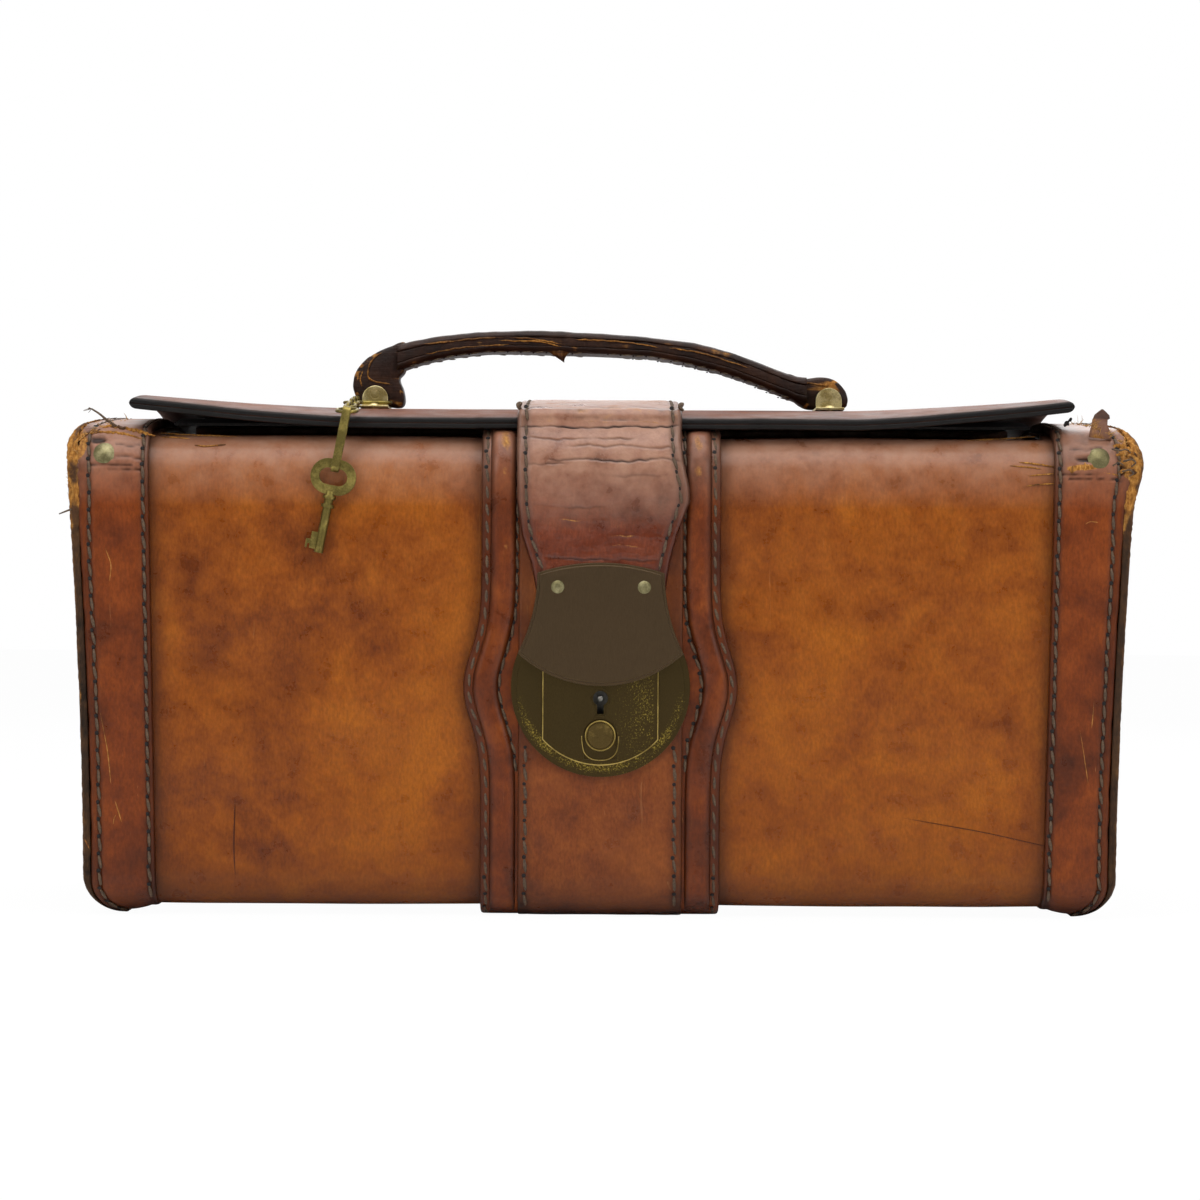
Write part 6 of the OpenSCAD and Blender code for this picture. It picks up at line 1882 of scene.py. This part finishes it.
@dataclass
class Fittings:
    """Metal with worn edges, and the finish of the frame's own rigid parts.

    Attributes:
        palette: the materials.
    """

    palette: Palette
    # Node, body, finish, slot, and how wide its edges are rounded
    WORN = (("lock_plate", "case", "lock", "dark_bronze", 0.4), ("lock_cover", "case", "lock", "dark_bronze", 0.22),
            ("release_button", "button", "button", "aged_brass", 0.4),
            ("hasp_plate", "strap", "bronze", "dark_bronze", 0.4),
            ("left_handle_bracket", "lid", "brass", "aged_brass", 0.3),
            ("right_handle_bracket", "lid", "brass", "aged_brass", 0.3),
            ("key", "key", "key", "aged_brass", 0.25), ("key_link", "link", "key", "aged_brass", 0.15))
    # Parts that keep the frame's shape, by their finish
    FINISH = {
        "bronze": ("hasp_staple",),
        "brass": ("left_handle_pin", "right_handle_pin", "bracket_rivets"),
        "rivet": ("corner_rivets", "hasp_rivets"),
        "key": ("key_ring", "key_chain"),
        "steel": ("lock_case", "lock_back_plate", "lock_rivets", "key_post", "catch_spring", "catch_slide",
                  "lock_bolt"),
        "linen": ("body_lining",),
        "sooty": ("lid_lining", "left_mouth_rail", "right_mouth_rail"),
        "board": ("front_board", "back_board", "base_board", "left_end_board", "right_end_board"),
    }

    def soften(self, node: str, body: str, finish: str, slot: str, width: float) -> None:
        """Rounds the edges of a metal part, as handling does.

        Args:
            node: the part of the frame.
            body: the body that it belongs to.
            finish: short name of its material.
            slot: a material slot's name, handed on to place, which does not use it.
            width: how wide its edges are rounded.
        """
        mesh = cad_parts[node].data.copy()
        mesh.name = f"{node}_worn"
        shape = bmesh.new()
        shape.from_mesh(mesh)
        bmesh.ops.remove_doubles(shape, verts=shape.verts, dist=MERGE_FRAME)
        bmesh.ops.dissolve_limit(shape, angle_limit=math.radians(1.5), verts=shape.verts, edges=shape.edges)
        bmesh.ops.recalc_face_normals(shape, faces=shape.faces)
        shape.to_mesh(mesh)
        shape.free()
        if "custom_normal" in mesh.attributes:
            mesh.attributes.remove(mesh.attributes["custom_normal"])
        mesh.shade_smooth()
        mesh.materials.clear()
        mesh.materials.append(self.palette[finish])
        piece = bpy.data.objects.new(mesh.name, mesh)
        bpy.context.scene.collection.objects.link(piece)
        bevel = piece.modifiers.new("bevel", "BEVEL")
        bevel.width = width * MM
        bevel.segments = 3
        bevel.limit_method = "ANGLE"
        bevel.angle_limit = math.radians(35)
        weigh = piece.modifiers.new("weigh", "WEIGHTED_NORMAL")
        weigh.keep_sharp = True
        bake_modifiers(piece)
        place(piece, body, slot, node)

    def lines(self) -> None:
        """Rubbed edges in a light bronze that is partly a painted highlight: the lock cover's outline, the button's
        slot and its rim.
        """
        radius, half, face = 24.75, 18.35, -74.06
        turn = math.asin(half / radius)
        arc = [(radius * math.sin(a), LOCK_Z - radius * math.cos(a)) for a in np.linspace(-turn, turn, 50)]
        down = [(-half, z) for z in np.linspace(79.6, arc[0][1] + 0.3, 30)]
        cover = down + arc + [(-x, z) for x, z in reversed(down)]
        slot = [(-5.9, 58.0), (-5.8, 54.6), (-4.6, 50.9), (0.0, 49.9), (4.6, 50.9), (5.8, 54.6), (5.9, 58.0)]
        skin = Skin("lock_edges_rubbed_highlit")
        skin.tube([(x, face, z) for x, z in cover], 0.2)
        skin.tube(smooth_line([(x, face, z) for x, z in slot], 60), 0.16)
        place(skin.build(self.palette["rubbed"]), "case", "dark_bronze")
        button_z, button_r, button_face = 58.1, 4.72, -74.92
        ring = [(button_r * math.cos(a), button_face, button_z + button_r * math.sin(a))
                for a in np.linspace(0, 2 * math.pi, 60)]
        rim = Skin("button_rim")
        rim.grid(tube_rows(ring, lambda _: 0.22, 7), wrap=True)
        place(rim.build(self.palette["rubbed"]), "button", "aged_brass")

    def build(self) -> None:
        """Softens the handled metal and sets the material of every other part."""
        for part in self.WORN:
            self.soften(*part)
        self.lines()
        for key, nodes in self.FINISH.items():
            for node in nodes:
                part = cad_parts[node]
                part.data.materials.clear()
                part.data.materials.append(self.palette[key])
                log.info("%s keeps its shape, in %s", node, self.palette[key].name)


# Studio


@dataclass(frozen=True)
class Studio:
    """Camera, pale floor and soft light.

    Attributes:
        eye: the camera's place.
        lens: its focal length for a 36 mm sensor.
        roll: its roll in degrees.
        room: brightness of the room behind the camera.
        floor_half: half the floor's size.
        floor_z: height of the floor, just under the case.
        floor_glow: how far the floor that the camera sees is plain white.
    """

    eye: tuple[float, float, float] = (-0.3, -1270.0, 101.4)
    lens: float = 112.5
    roll: float = -0.3
    room: float = 0.05
    floor_half: float = 6000.0
    floor_z: float = -0.2
    floor_glow: float = 0.97

    def camera(self) -> None:
        """Looks level at the case from the photograph's distance."""
        data = bpy.data.cameras.new("camera")
        data.lens = self.lens
        data.sensor_width = 36.0
        data.clip_end = 100.0
        camera = bpy.data.objects.new("camera", data)
        camera.location = Vector(self.eye) * MM
        camera.rotation_euler = (math.pi / 2, math.radians(self.roll), 0)
        bpy.context.scene.collection.objects.link(camera)
        bpy.context.scene.camera = camera

    def light(self, name: str, place_at: tuple[float, float, float], aim: tuple[float, float, float], size: float,
              power: float) -> None:
        """Adds a soft square light that faces a point; places are in metres."""
        data = bpy.data.lights.new(name, "AREA")
        data.size = size
        data.energy = power
        lamp = bpy.data.objects.new(name, data)
        lamp.location = place_at
        lamp.rotation_euler = (Vector(aim) - Vector(place_at)).to_track_quat("-Z", "Y").to_euler()
        bpy.context.scene.collection.objects.link(lamp)

    def world(self) -> None:
        """A white backdrop behind the case, and a dim room behind the camera."""
        world = bpy.data.worlds.new("studio")
        world.use_nodes = True
        bpy.context.scene.world = world
        tree = world.node_tree
        tree.nodes.clear()
        g = Graph(tree)
        room = g.node("ShaderNodeMapRange", {"interpolation_type": "SMOOTHSTEP"}, {
            "Value": g.part(g.node("ShaderNodeTexCoord", {}, {}, "Generated"), "Y"),
            "From Min": -0.35, "From Max": 0.35, "To Min": self.room, "To Max": 1.0})
        ray = add(tree, "ShaderNodeLightPath").outputs
        seen = g.maths("MAXIMUM", ray["Is Camera Ray"], ray["Is Transmission Ray"])
        dim = g.node("ShaderNodeBackground", {}, {"Color": (1, 1, 1, 1), "Strength": room})
        white = g.node("ShaderNodeBackground", {}, {"Color": (1, 1, 1, 1), "Strength": 1.0})
        add(tree, "ShaderNodeOutputWorld", None, None, {
            "Surface": g.node("ShaderNodeMixShader", {}, {0: seen, 1: dim, 2: white})})

    def floor(self) -> None:
        """A white floor that keeps a soft shadow."""
        half, z = self.floor_half * MM, self.floor_z * MM
        mesh = bpy.data.meshes.new("floor")
        mesh.from_pydata([(-half, -half, z), (half, -half, z), (half, half, z), (-half, half, z)], [], [(0, 1, 2, 3)])
        material = bpy.data.materials.new("Paper_floor")
        material.use_nodes = True
        tree = material.node_tree
        tree.nodes.clear()
        g = Graph(tree)
        paper = g.node("ShaderNodeBsdfDiffuse", {}, {"Color": linear("#F2F2F2")})
        white = g.node("ShaderNodeEmission", {}, {"Color": (1, 1, 1, 1), "Strength": 1.0})
        share = g.maths("MULTIPLY", g.node("ShaderNodeLightPath", {}, {}, "Is Camera Ray"), self.floor_glow)
        add(tree, "ShaderNodeOutputMaterial", None, None, {
            "Surface": g.node("ShaderNodeMixShader", {}, {0: share, 1: paper, 2: white})})
        mesh.materials.append(material)
        floor = bpy.data.objects.new("floor", mesh)
        bpy.context.scene.collection.objects.link(floor)

    def build(self) -> None:
        """Sets up camera, light and floor."""
        self.camera()
        self.world()
        self.floor()
        self.light("overhead", (0.0, -0.35, 1.2), (0, 0, 0.08), 1.1, 15.5)
        self.light("front_left", (-1.4, -1.3, 1.1), (0, 0, 0.08), 1.0, 14.5)
        self.light("front_right", (1.5, -1.3, 0.9), (0, 0, 0.08), 1.0, 11.5)
        self.light("behind", (0.2, 1.4, 1.0), (0, 0, 0.1), 1.0, 7.0)
        bpy.context.scene.view_settings.view_transform = "Standard"


def main() -> None:
    """Builds the studio and each sub-assembly in order."""
    logging.basicConfig(level=logging.INFO, format="%(message)s")
    Studio().build()
    palette = Palette()
    for part in (Body(palette), Wear(palette), Lid(palette), Strap(palette), Handle(palette), Fittings(palette)):
        part.build()


if __name__ == "__main__":
    main()
